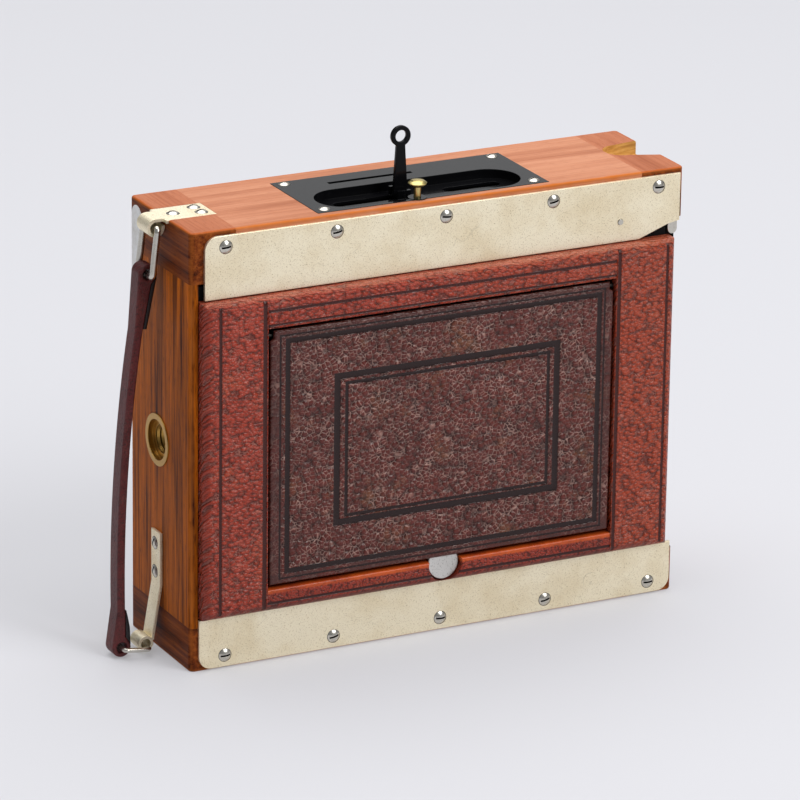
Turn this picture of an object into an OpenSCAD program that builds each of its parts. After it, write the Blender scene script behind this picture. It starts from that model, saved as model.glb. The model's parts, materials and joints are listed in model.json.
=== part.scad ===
// Folding plate camera for the tropics: teak case, sliding focusing back with a leather hood,
// focal-plane shutter and a lens standard on scissor struts. Shown folded, rear sight raised.
// Millimetres. Z is up, the back faces -Y, the lens faces +Y. Modules measure Y from the back
// face of the wood; from_back() centres the case on Y.

/* [Case] */
// Width of the wooden case
case_w = 180; // [176:1:190]
// Height of the wooden case
case_h = 150; // [147:1:160]
// Depth of the wooden case, back face to front face
case_d = 46.6; // [46:0.2:50]
// Thickness of the side boards
side_t = 8; // [7.6:0.2:8.6]
// Thickness of the top and bottom boards
board_t = 10; // [9:0.5:10.5]
// Rounding of the two upright edges at the back
edge_r_back = 2; // [1:0.5:4]
// Rounding of the two upright edges at the front
edge_r_front = 1.5; // [1:0.5:4]
// Width of the corner blocks, seen from above
corner_w = 16; // [15:0.5:18]
// Height of the upper corner blocks
corner_top_h = 17.2; // [16.8:0.2:18]
// Height of the lower corner blocks
corner_bottom_h = 15.2; // [14:0.2:15.4]

/* [Rear plates] */
// Thickness of the rear plates
plate_t = 1; // [0.6:0.1:1.2]
// Spacing of the plate screws
screw_pitch = 39.5; // [37:0.5:40]
// Diameter of the plate screw heads
screw_head_d = 4.4; // [3.6:0.2:5]

/* [Focusing back] */
// How far the leather frame stands proud of the wood
back_proud = 5; // [4.8:0.1:6]
// Rounding of the leather frame's outer edges
leather_r = 3; // [1.5:0.5:3.5]
// Width of the leather frame's left stile
stile_w = 22.5; // [20:0.5:23]
// Diameter of the round lid catch
disc_d = 11.4; // [9:0.2:12]
// Depth of the side and bottom wings of the hood
wing_depth = 38; // [20:1:38]

/* [Picture] */
// Width of the plate opening
image_w = 118; // [100:1:120]
// Height of the plate opening
image_h = 86; // [70:1:87]

/* [Top fittings] */
// Outer diameter of the sight ring
sight_ring_d = 7; // [6:0.2:8]
// Hole in the sight ring
sight_hole_d = 4; // [2:0.2:4.4]
// Height of the sight ring's centre above the case
sight_rise = 17.6; // [15:0.2:18]
// Diameter of the release button's head
button_d = 6.2; // [5:0.2:7]

/* [Strap] */
// Width of the carrying strap
strap_w = 6.2; // [5:0.2:6.2]
// Thickness of the carrying strap
strap_t = 2.8; // [2:0.2:3.2]
// How far the strap bows out from the wood, at most
strap_bow = 14.9; // [14:0.1:20]

/* [Tripod bushes] */
// Diameter of the threaded holes
thread_d = 9.6; // [6.4:0.1:9.6]
// Diameter of the bush flanges
bush_flange_d = 17.8; // [16:0.2:20]

/* [Shutter] */
// Diameter of the winding knob
winding_d = 23; // [18:1:25]
// Diameter of the tension knob
tension_d = 15; // [12:1:16]
// Radius of the curtain rollers
roller_r = 4.2; // [3:0.2:4.2]

/* [Front] */
// Folds in the bellows
bellows_folds = 9; // [6:1:12]
// Depth of one bellows fold
fold_depth = 5; // [3:0.5:5]
// Width of the struts
strut_w = 6; // [5:0.5:6]
// Radius of the lens barrel
barrel_r = 18; // [17:0.5:19]
// Width of the wire finder
wire_w = 112; // [100:1:114]
// Height of the wire finder
wire_h = 86.5; // [85.5:0.5:88]

/* [Hidden] */
$fn = 48;
eps = 0.01;

// Case
xl = -case_w / 2;
xr = case_w / 2;
zt = case_h;
inner_x = case_w / 2 - side_t;
lip_y = 8.8;
corner_top_z = zt - corner_top_h;

// The back slides in a channel behind the rear plates, open at the right
channel_y = 5.8;
channel_x = xl + 2.7;
plate_top_z0 = zt - 22.8;
plate_top_z1 = zt - 1.7;
plate_bottom_z0 = 0.7;
plate_bottom_z1 = 18;
screw_z_top = zt - 5.5;
screw_z_bottom = 4.7;

// Picture and optical axis
axis_z = (zt - 7) / 2;
image_x = image_w / 2;
image_z0 = axis_z - image_h / 2;
image_z1 = axis_z + image_h / 2;

// Leather frame of the back
frame_x0 = xl + 3;
frame_x1 = xr - 6;
frame_z0 = 18.5;
frame_z1 = zt - 23.2;
frame_y0 = -back_proud;
frame_y1 = 1.3;
hood_x0 = frame_x0 + stile_w;
hood_x1 = frame_x1 - 21.1;
hood_z0 = 26.3;
hood_z1 = zt - 34;
tongue_z0 = 15.7;
tongue_z1 = zt - 18.5;
slide_y1 = frame_y1 + 1;
glass_y1 = slide_y1 + 2;
glass_lap = 3;

// Lid of the hood
lid_gap = 2.3;
lid_x0 = hood_x0 + lid_gap;
lid_x1 = hood_x1 - lid_gap + 0.3;
lid_z0 = hood_z0 + 1.2;
lid_z1 = hood_z1 - 1.1;
lid_y0 = frame_y0 + 0.7;
lid_leather_t = 1;
lid_board_y0 = lid_y0 + lid_leather_t;
lid_board_y1 = lid_board_y0 + 1.6;
lid_axis_y = lid_board_y0 + 1.4;
lid_axis_z = hood_z1 - 3;
lid_barrel_r = 1.4;
lid_rod_r = 0.8;
rod_play = 0.06;

// Wings of the hood
wing_y = frame_y1 - 1.8;
wing_t = 0.8;
wing_rod_r = 0.4;
wing_barrel_r = 0.8;
wing_left_x = hood_x0 + 1.6;
wing_right_x = hood_x1 - 1.4;
wing_bottom_z = hood_z0 + 2.1;
wing_top_z = lid_axis_z - 1.8;
wing_start_z = wing_bottom_z + 2;
mitre_gap = 1.5;
lug_in = 3;

// Round catch of the lid
disc_x = 0.8;
disc_gap = 0.35;
disc_z = hood_z0 - 1.4;
disc_y0 = lid_board_y0 + 0.2;
disc_t = 1;
disc_stem_r = 1.5;
disc_stem_drop = 2;
disc_travel = 1;

// Catch of the back, in a pocket behind the upper plate
catch_x = xr - 24.2;
catch_z = zt - 15.9;
catch_y0 = 0.15;
catch_y1 = 1.05;

// Finder plate
finder_x0 = -43.5;
finder_x1 = 40.9;
finder_y0 = 3;
finder_y1 = 39;
finder_z0 = zt - 1;
trough_x0 = -38.3;
trough_x1 = 35;
trough_y0 = 4.5;
trough_y1 = 24.6;
trough_wall = 1;
trough_floor_z = zt - 3;
slot_y0 = 15.6;
slot_y1 = 20;
slot_left = [-30.6, -3.6];
slot_right = [9.5, 30];
slit_x = [-26, 4.5];
slit_y = [30.4, 32.2];
finder_screw_d = 4;
finder_screws = [for (sx = [-1, 1], sy = [-1, 1]) [-1.3 + 38.3 * sx, 21.4 + 14.9 * sy]];

// Rear sight
sight_x = -6.6;
sight_y = (slot_y0 + slot_y1) / 2;
sight_z = zt - 2;
sight_t = 1.5;
sight_pin_r = 0.8;
sight_ears_y = [slot_y0 - 1.4, slot_y1 + 1.4];

// Release button
button_x = -6.5;
button_y = 5.4;
button_stem_r = 1.2;
collar_r = 3.2;
button_base_z = zt - 13;

// Strap fittings
eye_x = xl - 3.2;
eye_z = zt - 3.1;
eye_r = 3.1;
eye_hole_r = 2;
knuckle_y = [19.2, 27.6];
tab_y = [16.5, 29.5];
tab_t = 1.2;
tab_end_x = xl + 17;
tab_screws = [[4.3, 22.7], [13.1, 26], [13.3, 20.4]];
tab_screw_d = 4.2;
loop_y = [18, 28.8];
loop_r = 1.1;
loop_top_x = xl - 5.1;
loop_top_z = zt - 19.1;
low_eye_x = xl - 6;
low_eye_z = 3.4;
low_eye_r = 2.7;
low_eye_hole_r = 1.7;
low_tab_y = [21.6, 28.4];
low_tab_t = 1;
low_tab_path = [[xl - 0.5, 41.2], [xl - 0.5, 23], [xl - 3.6, 4.5]];
low_screws_z = [36.9, 27];
low_loop_y = [18.6, 29.6];
low_loop_r = 0.8;
low_hang_z = low_eye_z - low_eye_hole_r + low_loop_r + 0.1;
low_bar_x = xl - 14.8;
low_bar_z = 3.6;

// Strap: a parabola between the two bars, farthest out low down
strap_y = 24.4;
strap_far_z = 24;
strap_x_far = xl - strap_bow;
strap_rise = (loop_top_x - 0.1 - strap_x_far) / pow(loop_top_z - strap_far_z, 2);
strap_fold_r = 3.3;
strap_hole_r = 1.75;
function strap_x(z) = strap_x_far + strap_rise * pow(z - strap_far_z, 2);

// Tripod bushes
bush_y = 25.5;
bush_z = 72.6;
bush_r = 8;
bush_flange_t = 1.2;
bush_proud = 0.4;
bush_sink = 2;
bush_sink_r = 6.8;
bush_len = 8;

// Shutter
shaft_y = 24.5;
upper_z = zt - 19;
lower_z = 19.5;
shaft_r = 2;
shaft_play = 0.05;
recess_x = xr - 6;
winding_recess_r = 15;
tension_recess_r = 10.5;
roller_x = inner_x - 5.5;
bracket_t = 3;
guide_y = 11.8;
guide_r = 1.5;
guide_top_z = zt - 26;
guide_bottom_z = 20;
blind_t = 0.4;
guide_lap_r = (guide_r + blind_t / 2 + 0.1) / cos(22.5);
guide_turn = [67.5, 112.5, 157.5];
bellows_frame_y = [13.5, 14.5];

// Standard, struts and their guides
standard_y = [37, 39.5];
guide_plate_x = inner_x - 3;
standard_x = guide_plate_x - 10;
standard_z = [13, zt - 13];
bracket_x = [standard_x, standard_x + 2.4];
strut_y = 33;
strut_t = 1.4;
strut_outer_x = [guide_plate_x - 3.7 - strut_t, guide_plate_x - 3.7];
strut_inner_x = [strut_outer_x[0] - 0.5 - strut_t, strut_outer_x[0] - 0.5];
strut_end_in = 12;
pivot_low_z = 16;
pivot_high_z = zt - 16;
pivot_mid_z = (pivot_low_z + pivot_high_z) / 2;
strut_pin_r = 1.5;
pin_play = 0.06;
strut_angle = 49;
slot_bottom_z = pivot_low_z + (pivot_high_z - pivot_low_z) * cos(strut_angle);

// Bellows
bellows_y = [bellows_frame_y[1], standard_y[0]];
bellows_wall = 0.7;
bellows_fold = fold_depth * 0.9;
bellows_x = min(image_x + 7.5, standard_x - 2.5);
bellows_h = min(image_h / 2 + 4.5, axis_z - lower_z - roller_r - 0.3);
bellows_lap = bellows_fold + bellows_wall + 0.3;

// Lens
board_y = [39.9, 42.9];
board_x = 50;
board_h = 42;
rail_y = 43.9;
lens_hole_r = barrel_r - 1.7;
focus_y = [43.2, 50.5];
barrel_y = [30, 57.5];
aperture_y = [52.5, 56];
ring_play = 0.25;

// Wire finder
wire_r = 0.8;
wire_y = 48.8;
wire_z = min(zt - 17, axis_z - 25 + wire_h);
wire_corner_r = 4;

// Places a module drawn from the back face of the wood
module from_back() translate([0, -case_d / 2, 0]) children();

// Basic solids between two values on each axis
module box(x, y, z) {
  translate([x[0], y[0], z[0]]) cube([x[1] - x[0], y[1] - y[0], z[1] - z[0]]);
}
module rod_x(x, y, z, r) translate([x[0], y, z]) rotate([0, 90, 0]) cylinder(h = x[1] - x[0], r = r);
module rod_y(x, y, z, r) translate([x, y[1], z]) rotate([90, 0, 0]) cylinder(h = y[1] - y[0], r = r);
module rod_z(x, y, z, r) translate([x, y, z[0]]) cylinder(h = z[1] - z[0], r = r);

// Flat outlines raised between two values: outline in X and Z, in Y and Z, in X and Y
module slab_xz(y) translate([0, y[1], 0]) rotate([90, 0, 0]) linear_extrude(y[1] - y[0]) children();
module slab_yz(x) translate([x[0], 0, 0]) rotate([90, 0, 90]) linear_extrude(x[1] - x[0]) children();
module slab_xy(z) translate([0, 0, z[0]]) linear_extrude(z[1] - z[0]) children();

// Rounded rectangle between two corners
module rounded(a, b, r) {
  translate([a[0] + r, a[1]]) square([b[0] - a[0] - 2 * r, b[1] - a[1]]);
  translate([a[0], a[1] + r]) square([b[0] - a[0], b[1] - a[1] - 2 * r]);
  for (x = [a[0] + r, b[0] - r], y = [a[1] + r, b[1] - r]) translate([x, y]) circle(r);
}

// Rounded slot between two ends on a line along X
module slot_outline(x, y) {
  r = (y[1] - y[0]) / 2;
  translate([x[0] + r, y[0]]) square([x[1] - x[0] - 2 * r, 2 * r]);
  for (c = [x[0] + r, x[1] - r]) translate([c, y[0] + r]) circle(r);
}

// Outline of a strip of even thickness along a path, mitred at its bends
function unit(v) = v / norm(v);
function normal_at(p, i) = let (d = unit(p[i + 1] - p[i])) [-d[1], d[0]];
function mitre(p, i) =
  let (a = normal_at(p, max(i - 1, 0)), b = normal_at(p, min(i, len(p) - 2)))
  (a + b) / (1 + a * b);
function strip(p, t) = concat(
  [for (i = [0:len(p) - 1]) p[i] + mitre(p, i) * t / 2],
  [for (i = [len(p) - 1:-1:0]) p[i] - mitre(p, i) * t / 2]);

// Domed slotted screw head on a shank, standing on z = 0 and pointing up
module screw(head_d, shank_r, shank_len) {
  rise = head_d * 0.2;
  ball_r = (pow(head_d / 2, 2) + pow(rise, 2)) / (2 * rise);
  difference() {
    intersection() {
      translate([0, 0, rise - ball_r]) sphere(ball_r);
      cylinder(h = rise, d = head_d);
    }
    translate([-head_d, -head_d * 0.07, rise * 0.45]) cube([2 * head_d, head_d * 0.14, rise]);
  }
  translate([0, 0, -shank_len]) cylinder(h = shank_len + eps, r = shank_r);
}

// Case: outline, hollows and boards

module case_outline() {
  rb = edge_r_back;
  rf = edge_r_front;
  slab_xy([0, zt]) {
    translate([xl + rf, 0]) square([case_w - 2 * rf, case_d]);
    translate([xl, rb]) square([case_w, case_d - rb - rf]);
    translate([xl + rb, 0]) square([case_w - 2 * rb, rb * 2]);
    for (x = [xl + rb, xr - rb]) translate([x, rb]) circle(rb);
    for (x = [xl + rf, xr - rf]) translate([x, case_d - rf]) circle(rf);
  }
}

module case_hollow() {
  box([-inner_x, inner_x], [lip_y, case_d + 1], [board_t, zt - board_t]);
  box([channel_x, xr + 1], [-1, channel_y], [corner_bottom_h, corner_top_z]);
  box([-inner_x, inner_x], [channel_y - eps, lip_y + eps], [corner_bottom_h, corner_top_z]);
}

module wood(x, z) {
  difference() {
    intersection() {
      case_outline();
      box(x, [-1, case_d + 1], z);
    }
    case_hollow();
  }
}

module rear_screw_places(z) {
  for (k = [-2:2]) translate([1 + screw_pitch * k, -plate_t, z]) rotate([90, 0, 0]) children();
}

module rear_shank_holes(z) rear_screw_places(z) translate([0, 0, -6 - plate_t]) cylinder(h = 8, r = 1.1);

module catch_pocket() box([catch_x - 6, xr - 0.8], [-1, 1.3], [corner_top_z - 1, zt - 9]);

module tab_recess() box([xl - 1, tab_end_x], tab_y, [zt - tab_t, zt + 1]);

module tab_screw_places() {
  for (p = tab_screws) translate([xl + p[0], p[1], zt]) children();
}

module knob_recesses() {
  rod_x([recess_x, xr + 1], shaft_y, upper_z, winding_recess_r);
  rod_x([recess_x, xr + 1], shaft_y, lower_z, tension_recess_r);
  for (z = [upper_z, lower_z]) rod_x([inner_x - 1, xr], shaft_y, z, shaft_r + 0.3);
}

module finger_notch() {
  slab_xy([zt - 4.7, zt + 1]) {
    translate([xr - 10.2, 25.2]) circle(6);
    polygon([[xr - 10.2, 19.2], [xr + 1, 14.6], [xr + 1, 33], [xr - 10.2, 31.2]]);
  }
}

module top_panel() color("#d98a5c") from_back() difference() {
  wood([xl + corner_w, xr - corner_w], [corner_top_z, zt]);
  box([finder_x0, finder_x1], [finder_y0, finder_y1], [finder_z0, zt + 1]);
  slab_xy([trough_floor_z - trough_wall, zt])
    slot_outline([trough_x0 - trough_wall, trough_x1 + trough_wall],
                 [trough_y0 - trough_wall, trough_y1 + trough_wall]);
  box([slot_left[0] - 0.5, slot_left[1] + 0.5], [slot_y0 - 0.6, slot_y1 + 0.6], [zt - 7, zt]);
  box([slot_right[0] - 0.5, slot_right[1] + 0.5], [slot_y0 - 0.6, slot_y1 + 0.6], [zt - 5.5, zt]);
  box(slit_x, slit_y, [zt - 4, zt]);
  rod_z(button_x, button_y, [zt - 6, zt], collar_r);
  rod_z(button_x, button_y, [corner_top_z + 0.7, zt], button_stem_r + rod_play);
  for (p = finder_screws) rod_z(p[0], p[1], [zt - 6, zt], 1);
  rear_shank_holes(screw_z_top);
  catch_pocket();
  tab_recess();
  tab_screw_places() translate([0, 0, -5]) cylinder(h = 6, r = 0.9);
}

module bottom_panel() color("#a8683a") from_back() difference() {
  wood([xl + corner_w, xr - corner_w], [0, corner_bottom_h]);
  rear_shank_holes(screw_z_bottom);
  rod_z(0, case_d / 2, [-1, bush_flange_t], bush_flange_d / 2);
  rod_z(0, case_d / 2, [0, board_t + 1], bush_r);
}

module left_panel() color("#a8683a") from_back() difference() {
  wood([xl, -inner_x], [corner_bottom_h, corner_top_z]);
  rod_x([xl - 1, xl + bush_flange_t - bush_proud], bush_y, bush_z, bush_flange_d / 2);
  rod_x([xl, -inner_x + 1], bush_y, bush_z, bush_r);
  for (z = low_screws_z) rod_x([xl - 1, xl + 4], bush_y, z, 0.9);
}

module right_panel() color("#a8683a") from_back() difference() {
  wood([inner_x, xr], [corner_bottom_h, corner_top_z]);
  knob_recesses();
}

module corner_blocks() color("#7c4524") from_back() difference() {
  for (x = [[xl, xl + corner_w], [xr - corner_w, xr]]) {
    wood(x, [corner_top_z, zt]);
    wood(x, [0, corner_bottom_h]);
  }
  rear_shank_holes(screw_z_top);
  rear_shank_holes(screw_z_bottom);
  catch_pocket();
  tab_recess();
  tab_screw_places() translate([0, 0, -5]) cylinder(h = 6, r = 0.9);
  knob_recesses();
  finger_notch();
}

module front_frame() color("#1c1c1e") from_back() difference() {
  slab_xz([case_d, case_d + 0.8]) rounded([xl + 4, 4], [xr - 4, zt - 4], 4);
  box([-inner_x + 4.5, inner_x - 4.5], [case_d - 1, case_d + 2], [11, zt - 11]);
}

// Rear plates

module rear_plate_top() color("#e6dcc0") from_back() difference() {
  slab_xz([-plate_t, 0]) difference() {
    union() {
      translate([xl + 9, plate_top_z0]) square([case_w - 20, plate_top_z1 - plate_top_z0]);
      translate([xl + 4.7, plate_top_z0]) square([8, plate_top_z1 - plate_top_z0 - 4.5]);
      translate([xl + 9.2, plate_top_z1 - 4.5]) circle(4.5);
      translate([xr - 14, plate_top_z0]) square([12.2, plate_top_z1 - plate_top_z0]);
    }
    polygon([[xr - 17, plate_top_z0 - 1], [xr - 17, plate_top_z0], [xr - 6, plate_top_z0 + 4],
             [xr, plate_top_z0 + 5], [xr, plate_top_z0 - 1]]);
    translate([catch_x, catch_z]) circle(1 + rod_play);
  }
  rear_shank_holes(screw_z_top);
}

module rear_plate_bottom() color("#e6dcc0") from_back() difference() {
  slab_xz([-plate_t, 0]) {
    translate([xl + 2.8, plate_bottom_z0 + 4.5]) square([case_w - 4.5, plate_bottom_z1 - plate_bottom_z0 - 4.5]);
    translate([xl + 7.3, plate_bottom_z0]) square([case_w - 13.5, 9]);
    for (x = [xl + 7.3, xr - 6.2]) translate([x, plate_bottom_z0 + 4.5]) circle(4.5);
  }
  rear_shank_holes(screw_z_bottom);
}

module rear_plate_screws() color("#d8d4c8") from_back() {
  for (z = [screw_z_top, screw_z_bottom]) rear_screw_places(z) screw(screw_head_d, 1.1, 4.5);
}

// Inside the case

module plate_frame() color("#26262a") from_back() difference() {
  box([-inner_x, inner_x], [channel_y, lip_y], [corner_bottom_h, corner_top_z]);
  box([-image_x, image_x], [0, lip_y + 1], [image_z0, image_z1]);
}

module shutter_blind() color("#2b2b2b") from_back() {
  path = concat(
    [[shaft_y - 1, upper_z - roller_r - blind_t + 0.2]],
    [for (a = guide_turn) [guide_y, guide_top_z] + guide_lap_r * [cos(a), sin(a)]],
    [for (i = [len(guide_turn) - 1:-1:0]) let (a = guide_turn[i])
      [guide_y, guide_bottom_z] + guide_lap_r * [cos(a), -sin(a)]],
    [[shaft_y - 1, lower_z - roller_r - blind_t - 0.2]]);
  slab_yz([-roller_x + 6, roller_x - 6]) polygon(strip(path, blind_t));
}

module blind_guides() color("#c9c9c9") from_back() {
  for (z = [guide_top_z, guide_bottom_z]) rod_x([-inner_x, inner_x], guide_y, z, guide_r);
}

module roller_bearings() color("#c8a24a") from_back() {
  for (side = [-1, 1], z = [upper_z, lower_z]) {
    x = side < 0 ? [-inner_x, -inner_x + bracket_t] : [inner_x - bracket_t, inner_x];
    difference() {
      box(x, [shaft_y - 4, shaft_y + 4], [z - 4, z + 4]);
      rod_x([x[0] - 1, x[1] + 1], shaft_y, z, shaft_r + shaft_play);
    }
  }
}

module strut_guides() color("#b9b9b4") from_back() {
  for (side = [-1, 1]) {
    x = side < 0 ? [-inner_x, -guide_plate_x] : [guide_plate_x, inner_x];
    difference() {
      box(x, [29.2, 37.4], [pivot_low_z - 4, pivot_high_z + 4]);
      rod_x([x[0] - 1, x[1] + 1], strut_y, pivot_low_z, strut_pin_r + pin_play);
      hull() for (z = [slot_bottom_z - 1.5, pivot_high_z]) {
        rod_x([x[0] - 1, x[1] + 1], strut_y, z, strut_pin_r + 0.3);
      }
    }
  }
}

module bellows_frame() color("#26262a") from_back() difference() {
  box([-inner_x, inner_x], bellows_frame_y, [image_z0 - 4.5, image_z1 + 4.5]);
  box([bellows_lap - bellows_x, bellows_x - bellows_lap], bellows_frame_y + [-1, 1],
      [axis_z - bellows_h + bellows_lap, axis_z + bellows_h - bellows_lap]);
}

// Bellows: rings of four corners, wide and narrow by turns, with a thin wall
bellows_rings = 2 * bellows_folds;
bellows_step = (bellows_y[1] - bellows_y[0]) / bellows_rings;
function bellows_ring(i, inset) =
  let (d = inset + (i % 2 == 0 ? bellows_fold : 0), y = bellows_y[0] + i * bellows_step)
  [for (c = [[-1, -1], [1, -1], [1, 1], [-1, 1]])
    [c[0] * (bellows_x - d), y, axis_z + c[1] * (bellows_h - d)]];
// One wall's faces between neighbouring rings, first corner of the wall at start
function bellows_faces(start) = [for (i = [0:bellows_rings - 1], k = [0:3])
  let (a = start + 4 * i + k, b = start + 4 * i + (k + 1) % 4) [a, b, b + 4, a + 4]];
function reversed(face) = [for (i = [len(face) - 1:-1:0]) face[i]];

module bellows() color("#6e4a30") from_back() {
  n = bellows_rings;
  inner = 4 * (n + 1);
  points = [for (inset = [0, bellows_wall], i = [0:n]) each bellows_ring(i, inset)];
  linings = [for (face = bellows_faces(inner)) reversed(face)];
  back_end = [for (k = [0:3]) [k, inner + k, inner + (k + 1) % 4, (k + 1) % 4]];
  front_end = [for (face = back_end) [for (v = reversed(face)) v + 4 * n]];
  polyhedron(points, concat(bellows_faces(0), linings, back_end, front_end));
}

// Top fittings

module finder_plate() color("#121214") from_back() {
  difference() {
    union() {
      box([finder_x0, finder_x1], [finder_y0, finder_y1], [finder_z0, zt + 0.15]);
      slab_xy([trough_floor_z - trough_wall, finder_z0 + eps])
        slot_outline([trough_x0 - trough_wall, trough_x1 + trough_wall],
                     [trough_y0 - trough_wall, trough_y1 + trough_wall]);
    }
    slab_xy([trough_floor_z, zt + 1]) slot_outline([trough_x0, trough_x1], [trough_y0, trough_y1]);
    slab_xy([zt - 6, zt]) {
      slot_outline(slot_left, [slot_y0, slot_y1]);
      slot_outline(slot_right, [slot_y0, slot_y1]);
    }
    box(slit_x, slit_y, [zt - 3, zt + 1]);
    rod_z(button_x, button_y, [zt - 6, zt + 1], collar_r);
    for (p = finder_screws) rod_z(p[0], p[1], [zt - 3, zt + 1], 1);
  }
  for (y = [[sight_ears_y[0], slot_y0 - 0.2], [slot_y1 + 0.2, sight_ears_y[1]]]) difference() {
    box([sight_x - 2.4, sight_x + 2.4], y, [trough_floor_z - eps, sight_z + 1.9]);
    rod_y(sight_x, [y[0] - 1, y[1] + 1], sight_z, sight_pin_r + rod_play);
  }
}

module finder_plate_screws() color("#d8d4c8") from_back() {
  for (p = finder_screws) translate([p[0], p[1], zt + 0.15]) screw(finder_screw_d, 1, 4);
}

module button_collar() color("#17171a") from_back() difference() {
  rod_z(button_x, button_y, [zt - 6, zt + 0.3], collar_r);
  rod_z(button_x, button_y, [zt - 7, zt + 1], button_stem_r + rod_play);
}

module release_button() color("#c9a44c") from_back() {
  rod_z(button_x, button_y, [button_base_z, zt + 4.2], button_stem_r);
  translate([button_x, button_y, zt + 3.9]) rotate_extrude() {
    polygon([[0, 0], [button_d * 0.3, 0], [button_d * 0.5, 1], [button_d * 0.5, 1.3],
             [button_d * 0.38, 1.9], [button_d * 0.2, 2.25], [0, 2.35]]);
  }
}

module sight_lever() color("#141416") from_back() {
  ring_z = zt + sight_rise;
  slab_xz([sight_y - sight_t / 2, sight_y + sight_t / 2]) difference() {
    union() {
      translate([sight_x, sight_z]) circle(2.6);
      polygon([[sight_x - 2.6, sight_z], [sight_x + 2.6, sight_z],
               [sight_x + 1.5, ring_z - 2.6], [sight_x - 1.5, ring_z - 2.6]]);
      translate([sight_x, ring_z]) circle(d = sight_ring_d);
    }
    translate([sight_x, ring_z]) circle(d = sight_hole_d);
  }
  rod_y(sight_x, [sight_ears_y[0], sight_ears_y[1]], sight_z, sight_pin_r);
}

// Strap fittings

module strap_tab_top() color("#ded6bf") from_back() {
  difference() {
    union() {
      box([xl - 0.8, tab_end_x], tab_y, [zt - tab_t, zt]);
      box([eye_x, xl], knuckle_y, [zt - tab_t, zt]);
    }
    tab_screw_places() translate([0, 0, -5]) cylinder(h = 6, r = 0.9);
  }
  slab_xz(knuckle_y) difference() {
    translate([eye_x, eye_z]) circle(eye_r);
    translate([eye_x, eye_z]) circle(eye_hole_r);
    translate([eye_x, eye_z]) polygon([[0, 4], [0, 0], 6 * [cos(15), sin(15)], [6, 4]]);
  }
}

module strap_tab_bottom() color("#ded6bf") from_back() difference() {
  union() {
    slab_xz(low_tab_y) polygon(strip(low_tab_path, low_tab_t));
    rod_y(low_eye_x, low_tab_y, low_eye_z, low_eye_r);
  }
  rod_y(low_eye_x, [low_tab_y[0] - 1, low_tab_y[1] + 1], low_eye_z, low_eye_hole_r);
  for (z = low_screws_z) rod_x([xl - 2, xl + 1], bush_y, z, 0.9);
}

module strap_tab_screws() color("#e2ded2") from_back() {
  tab_screw_places() screw(tab_screw_d, 0.9, 4);
  for (z = low_screws_z) translate([xl - low_tab_t, bush_y, z]) rotate([0, -90, 0]) screw(tab_screw_d, 0.9, 4);
}

// Wire loop in the plane of Y and the line from a to b, with a bent corner at each end of its bars
module wire_loop(a, b, y, r) {
  length = norm(b - a);
  bend = r * 1.15;
  translate([a[0], 0, a[1]]) rotate([0, atan2(b[0] - a[0], b[1] - a[1]), 0]) {
    for (z = [0, length]) rod_y(0, [y[0] + bend, y[1] - bend], z, r);
    for (v = y) rod_z(0, v, [bend, length - bend], r);
    for (c = [[y[0] + bend, bend, 270], [y[1] - bend, bend, 0],
              [y[1] - bend, length - bend, 90], [y[0] + bend, length - bend, 180]]) {
      translate([0, c[0], c[1]]) rotate([0, 90, 0]) rotate(c[2]) {
        rotate_extrude(angle = 90) translate([bend, 0]) circle(r);
      }
    }
  }
}

module strap_loop_top() color("#e2ded2") from_back() {
  wire_loop([eye_x, eye_z], [loop_top_x, loop_top_z], loop_y, loop_r);
}

module strap_loop_bottom() color("#e2ded2") from_back() {
  wire_loop([low_eye_x, low_hang_z], [low_bar_x, low_bar_z], low_loop_y, low_loop_r);
}

strap_span = [strap_y - strap_w / 2, strap_y + strap_w / 2];
bar_top = [loop_top_x, loop_top_z];
bar_low = [low_bar_x, low_bar_z];
lining_top_z = loop_top_z - 18.9;
lining_low_z = low_bar_z + 13;
fold_top = [180, -14];
fold_low = [10, -180];
strap_steps = 16;
strap_sides = strip([for (i = [0:strap_steps])
  let (z = lining_low_z + (lining_top_z - lining_low_z) * i / strap_steps) [strap_x(z), z]], strap_t);
function fold(bar, angles) = [for (i = [0:24])
  let (a = angles[0] + (angles[1] - angles[0]) * i / 24) bar + strap_fold_r * [cos(a), sin(a)]];
lining_top = let (x = strap_x(lining_top_z) + strap_t / 2) [
  fold(bar_top, fold_top)[24], bar_top + [1.2, -3.6],
  [x + 0.1, lining_top_z + 0.5], [x + 1.4, lining_top_z + 0.5]];
lining_bottom = let (x = strap_x(lining_low_z) + strap_t / 2) [
  fold(bar_low, fold_low)[0], bar_low + [3, 7],
  [x + 0.4, lining_low_z], [x + 0.1, lining_low_z - 0.5], bar_low + [1.4, 3.6]];

// Strap: up its outer side, over the upper bar, down its inner side and round the lower bar
module strap() color("#5a2326") from_back() difference() {
  slab_xz(strap_span) {
    polygon(concat(
      [for (i = [0:strap_steps]) strap_sides[i]],
      fold(bar_top, fold_top), [lining_top[1], lining_top[2]],
      [for (i = [strap_steps + 1:2 * strap_steps + 1]) strap_sides[i]],
      [lining_bottom[3], lining_bottom[4]], fold(bar_low, fold_low)));
  }
  for (bar = [bar_top, bar_low]) rod_y(bar[0], strap_span + [-1, 1], bar[1], strap_hole_r);
}

module strap_lining() color("#161618") from_back() {
  slab_xz(strap_span) polygon(lining_top);
  slab_xz(strap_span) polygon(lining_bottom);
}

// Tripod bushes: body, flange and blind threaded hole, drawn with the mouth at the origin, facing -Z
module bush(proud, sink) {
  difference() {
    union() {
      translate([0, 0, -proud]) cylinder(h = bush_flange_t, d = bush_flange_d);
      cylinder(h = side_t - 0.2, r = bush_r);
    }
    translate([0, 0, -proud - 1]) cylinder(h = 1 + proud + sink, r = bush_sink_r);
    translate([0, 0, -proud - 1]) cylinder(h = 1 + proud + sink + 4.8, d = thread_d);
  }
}

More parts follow.
